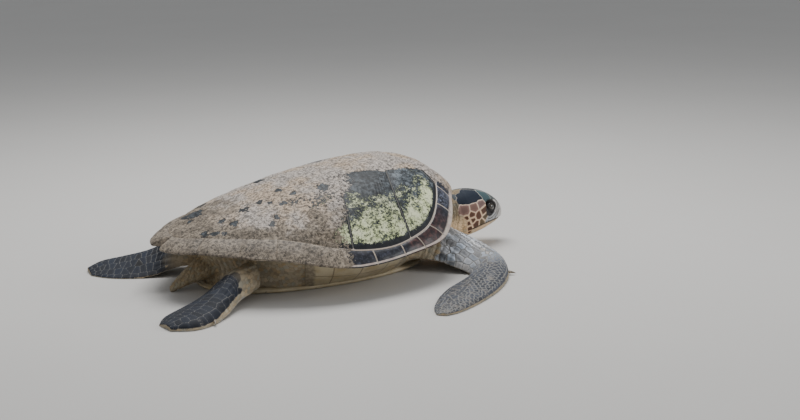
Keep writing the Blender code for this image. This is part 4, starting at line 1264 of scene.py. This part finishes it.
def finishSkin(mesh, co, normal, own, border):
    names = list(tones)
    toneOf = np.array([names.index(t) for t in seeds.toneNames])[own]
    scaleOf = np.array(seeds.scales)[own]
    colour, rimColour, width, height = (np.array(column)[toneOf] for column in zip(*tones.values()))

    def toneIs(*wanted):
        return np.isin(toneOf, [names.index(t) for t in wanted])

    x, y, z = co[:, 0] - shift, co[:, 1], co[:, 2]
    out = np.abs(y)
    onHead, onArm = (x > 0.60) & (out < 0.09), toneIs("arm")
    neckDepth = neckFolds(co)
    lift = height * ease(border, width * 0.3, width * 0.3 + 0.0028) - height * 0.6
    shaped = shapeHead(co, normal) + normal * (lift + neckDepth + limbFolds(co) - body["inward"])[:, None]
    # underside of the flippers and trunk lies flat on the floor
    down = (normal[:, 2] < -0.3) & (shaped[:, 2] < 0.004)
    shaped[:, 2] = np.maximum(np.where(down, np.minimum(shaped[:, 2], 0.0006), shaped[:, 2]), 0.0002)

    variety, second = (chance.normal(0, 1, seeds.count)[scaleOf] for _ in range(2))
    strength = skinTint["variety"] + skinTint["armVariety"] * onArm
    colour = colour * (1 + strength * np.clip(variety, -2, 2))[:, None]
    colour = np.clip(colour * triple(1 + 0.05 * second, 1, 1 - 0.06 * second), 0.004, 1)
    # scales are darker in the middle
    mottled = toneIs("cheek", "cheekDark", "arm", "leg", "cheekOlive")
    colour = colour * (1 - skinTint["heart"] * ease(border, 0.003, 0.011) * mottled)[:, None]
    # soft skin over the hips, darker scales on the outer blades
    hip = 1 - ease(fromHip(x, y) + 0.014 * lumps(co, 0.03, 61), *body["hipFade"])
    hip = hip * toneIs("leg") * (y * y > 0.014)
    colour, rimColour = tinted(colour, softTones[0], hip), tinted(rimColour, softTones[1], hip)
    outer = ease(out, *skinTint["bladeSpan"]) * onArm
    colour = tinted(colour, np.array(skinTint["blade"]) * (1 + 0.25 * variety)[:, None], outer)
    rimColour = rimColour * (1 - 0.55 * outer)[:, None]
    # silver streaks run along the upper arm: lighter bands, partly the scales' own tone and partly painted
    # sheen
    c, u = skinTint["streakTurn"]
    stretched = triple(x * c - out * u, (x * u + out * c) * 0.10, z * 0.15)
    silverToneAndSheen = ease(roughLumps(stretched, skinTint["streakSize"], 62), -0.25, 0.30) * 2 - 1
    silverToneAndSheen = (silverToneAndSheen * onArm * (1 - ease(out, *skinTint["streakSpan"])))[:, None]
    colour, rimColour = colour * (1 + 0.42 * silverToneAndSheen), rimColour * (1 + 0.30 * silverToneAndSheen)
    # the neck is yellower towards the throat
    lowNeck = ease(0.135 - z, 0, 0.05) * toneIs("neck")
    colour = tinted(colour, skinTint["lowNeck"], lowNeck)
    rimColour = tinted(rimColour, skinTint["lowNeckLine"], lowNeck)

    # dark lids with painted shade round the eye, painted shade in the mouth line and nostrils, and painted
    # shade in the folds, go over scales and borders alike
    # painted shade along the mouth line, wider towards the back
    slitWidth = mouth["lineWidth"] * (0.25 + 0.75 * ease(x, mouth["corner"], mouth["corner"] + 0.045))
    slitShade = 0.95 * hump(z, mouthLine(x) - mouth["lineDrop"], slitWidth, 4) * onHead
    slitShade *= ease(x, mouth["corner"] - 0.002, mouth["corner"] + 0.012)
    darkLidsAndShade, arcs = np.zeros(len(co)), np.zeros(len(co))
    onBeak = toneIs("snout", "crown") & (z > mouthLine(x) + 0.002)
    uneven = 0.0030 * lumps(co, 0.016, 53) + 0.0012 * roughLumps(co, 0.006, 54)
    for side in sides.values():
        h, a, b = eyeField(co, side)
        # the dark patch is the lids' dark skin with painted shade round the eye
        slope = b + eye["darkDrop"] - 0.22 * a
        away = np.hypot(a / eye["dark"][0], slope / eye["dark"][1]) * (1 + 0.10 * np.maximum(a / 0.03, 0))
        dark = 1 - ease(away + uneven / 0.03, 0.86, 1.10)
        darkLidsAndShade = np.maximum(darkLidsAndShade, dark * (h > -0.010) * (np.abs(y - side * 0.05) < 0.05))
        away, turn = np.hypot(a * 0.94, slope), np.degrees(np.arctan2(b, a))
        away += uneven + 0.0010 * lumps(co, 0.010, 52)
        reached = span(turn, eye["arcTo"], eye["arcTo"] + 12, eye["arcFrom"] - 25, eye["arcFrom"])
        for distance, half, strength in eye["arcs"]:
            broken = ease(lumps(co, 0.014, int(distance * 10000)), -0.9, -0.2)
            arc = strength * broken * hump(away, distance, half) * reached
            arcs = np.maximum(arcs, arc * (y * side > 0.004) * onBeak)
        # painted shade in the nostril
        slitShade = np.maximum(slitShade, hump(distanceTo(co, mouth["nostril"], side), 0, mouth["nostrilSize"]))
    foldShade = np.clip(-neckDepth / folds["depth"], 0, 1) * (0.60 - 0.32 * lowNeck)
    lidAndShadeTint = np.array(skinTint["lid"]) * (1 + 0.3 * lumps(co, 0.004, 51))[:, None]

    def stained(base):
        base = tinted(tinted(base, lidAndShadeTint, darkLidsAndShade), skinTint["slitShade"], slitShade)
        return np.clip(tinted(base, skinTint["lid"], 0.9 * arcs) * (1 - foldShade)[:, None], 0, 1)

    mesh.vertices.foreach_set("co", shaped.astype(np.float32).ravel())
    giveMarks(mesh, {
        "tint": stained(colour), "rimTint": stained(rimColour), "border": border, "rimWidth": width,
        "gloss": np.select([toneIs("snout", "jaw"), onHead, onArm], [0.75, 0.55, 0.45], 0.25),
        "softness": np.maximum(toneIs("neck", "soft", "tail", "throat"), 0.8 * darkLidsAndShade),
        "dust": np.clip(0.15 + 0.25 * ease(out, 0.2, 0.5) * (normal[:, 2] > 0.2) - 0.3 * onHead, 0, 1),
        "crease": onArm * (0.9 - 0.4 * outer), "horny": toneIs("snout") & (darkLidsAndShade < 0.1),
    })
    mesh.update()
    mesh.shade_smooth()


def skinFinish():
    finish = Finish("skinFinish", Specular_IOR_Level=0.28)
    gloss, softness, dust, horny = (finish.mark(n) for n in ("gloss", "softness", "dust", "horny"))
    border, width, crease = finish.mark("border"), finish.mark("rimWidth"), finish.mark("crease")
    ragged = finish.noise(0.0035, 3.0, rough=0.7) - 0.5
    inner = (border / width + ragged * 0.9).rise(0.55, 1.25)
    colour = finish.over(inner, finish.mark("rimTint", "Color"), finish.mark("tint", "Color"))
    cloud = finish.noise(0.010, 4.0, rough=0.65)
    speck = finish.noise(0.0045, 3.0, rough=0.8)
    colour = finish.shade(colour, 0.60 + cloud * 0.50 + speck * 0.30)
    # thin dark creases between the scales of the arm
    line = (1 - (border + ragged * 0.0014).rise(0.0007, 0.0019)) * crease
    colour = finish.over(line, colour, (0.045, 0.050, 0.062))
    # the beak is streaked from the lip upwards
    streak = finish.noise(0.0045, 4.0, finish.stretched(1.3, 1.3, 0.28), 0.7)
    colour = finish.over(streak.rise(0.50, 0.64) * horny * 0.60, colour, (0.120, 0.112, 0.108))
    grit = finish.noise(0.0022, 2.0, rough=0.7)
    film = (dust + (finish.noise(0.03, 5.0, rough=0.65) - 0.5) * 0.9 + (grit - 0.5) * 0.5).rise(0.42, 0.62)
    colour = finish.over(film * 0.70, colour, (0.360, 0.320, 0.270))
    height = finish.cells(0.0024) * softness + finish.noise(0.0016, 3.0) * 0.5 + inner * 0.8
    height = height + streak * horny * 0.4 - line * 0.6 + film * grit
    return finish.done(colour, 0.80 - gloss * 0.38 + film * 0.12, height, 0.0005)


finishSkin(skinMesh, co, normal, own, border)
flesh = ("head", "lower_jaw", "neck", "trunk", "tail", "front_flipper_left", "front_flipper_right",
         "hind_flipper_left", "hind_flipper_right")
addPiece("skin", skinMesh, skinFinish(), "skin", *flesh)
print("skin shaped")


def eyeFinish():
    finish = Finish("eyeFinish", 0.08, Coat_Weight=1.0, Coat_Roughness=0.03, Specular_IOR_Level=0.6)
    rays = finish.over(finish.noise(0.0012, 3.0), (0.030, 0.020, 0.012), (0.080, 0.055, 0.030))
    colour = finish.over(finish.mark("iris"), (0.030, 0.026, 0.024), rays)
    return finish.done(finish.over(finish.mark("pupil"), colour, (0.003, 0.003, 0.003)))


def makeEye(sideName, side, finish):
    polar, turn = np.linspace(0.02, math.pi - 0.02, 40)[:, None], around(56)
    radius = eye["ball"] * (1 + eye["bulge"] * (1 - ease(polar, *eye["bulgeSpan"])))
    away = radius * np.sin(polar)
    local = triple(radius * np.cos(polar), away * np.cos(turn), away * np.sin(turn))
    polar = np.repeat(polar, len(turn))
    marks = {"iris": 1 - ease(polar, *eye["irisSpan"]), "pupil": 1 - ease(polar, *eye["pupilSpan"])}
    mesh = meshFrom("eyeball", *tube(placed(eye["place"], side) + local @ eyeAxes(side)), marks)
    addPiece("eyeball_" + sideName, mesh, finish, "eye", "eye_" + sideName)


eyeMaterial = eyeFinish()
for sideName, side in sides.items():
    makeEye(sideName, side, eyeMaterial)


def clawFinish():
    finish = Finish("clawFinish", 0.35, Specular_IOR_Level=0.5)
    grain = finish.noise(0.004, 4.0, finish.stretched(0.3, 1.0, 1.0))
    colour = finish.over(grain.rise(0.35, 0.65), (0.10, 0.085, 0.065), (0.34, 0.29, 0.22))
    return finish.done(colour, 0.32 + grain * 0.2, grain, 0.0003)


claws = {
    # middle of the claw and the way it points on the left, its length and radius
    "front": ((0.536, 0.419, 0.0085), (0.75, 0.55, 0.0), 0.034, 0.0068),
    "hind": ((-0.482, 0.398, 0.0105), (-0.30, 0.90, 0.0), 0.032, 0.0060),
}
clawShape = {"rings": 24, "sides": 20, "reach": 0.98, "taper": 1.6, "tip": 0.0006, "wide": 0.85, "high": 0.8,
             "arch": 0.0016, "droop": 0.0022}


def makeClaw(kind, sideName, side, finish):
    middle, way, length, radius = claws[kind]
    way = unit(np.array(way) * [1, side, 1])
    t, turn = np.linspace(0, 1, clawShape["rings"])[:, None, None], around(clawShape["sides"])[:, None]
    spread = radius * (1 - t ** clawShape["taper"]) + clawShape["tip"]
    up = np.array([0, 0, 1.0])
    spine = placed(middle, side) + way * (t - 0.5) * length * clawShape["reach"]
    spine = spine + up * (clawShape["arch"] * np.sin(math.pi * t) - clawShape["droop"] * t * t)
    across = np.cross(up, way) * np.cos(turn) * clawShape["wide"]
    mesh = meshFrom("claw", *tube(spine + (across + up * np.sin(turn) * clawShape["high"]) * spread))
    addPiece(f"{kind}_nail_{sideName}", mesh, finish, "claw", f"{kind}_claw_{sideName}")


clawMaterial = clawFinish()
for kind in claws:
    for sideName, side in sides.items():
        makeClaw(kind, sideName, side, clawMaterial)
print("eyes and claws made")
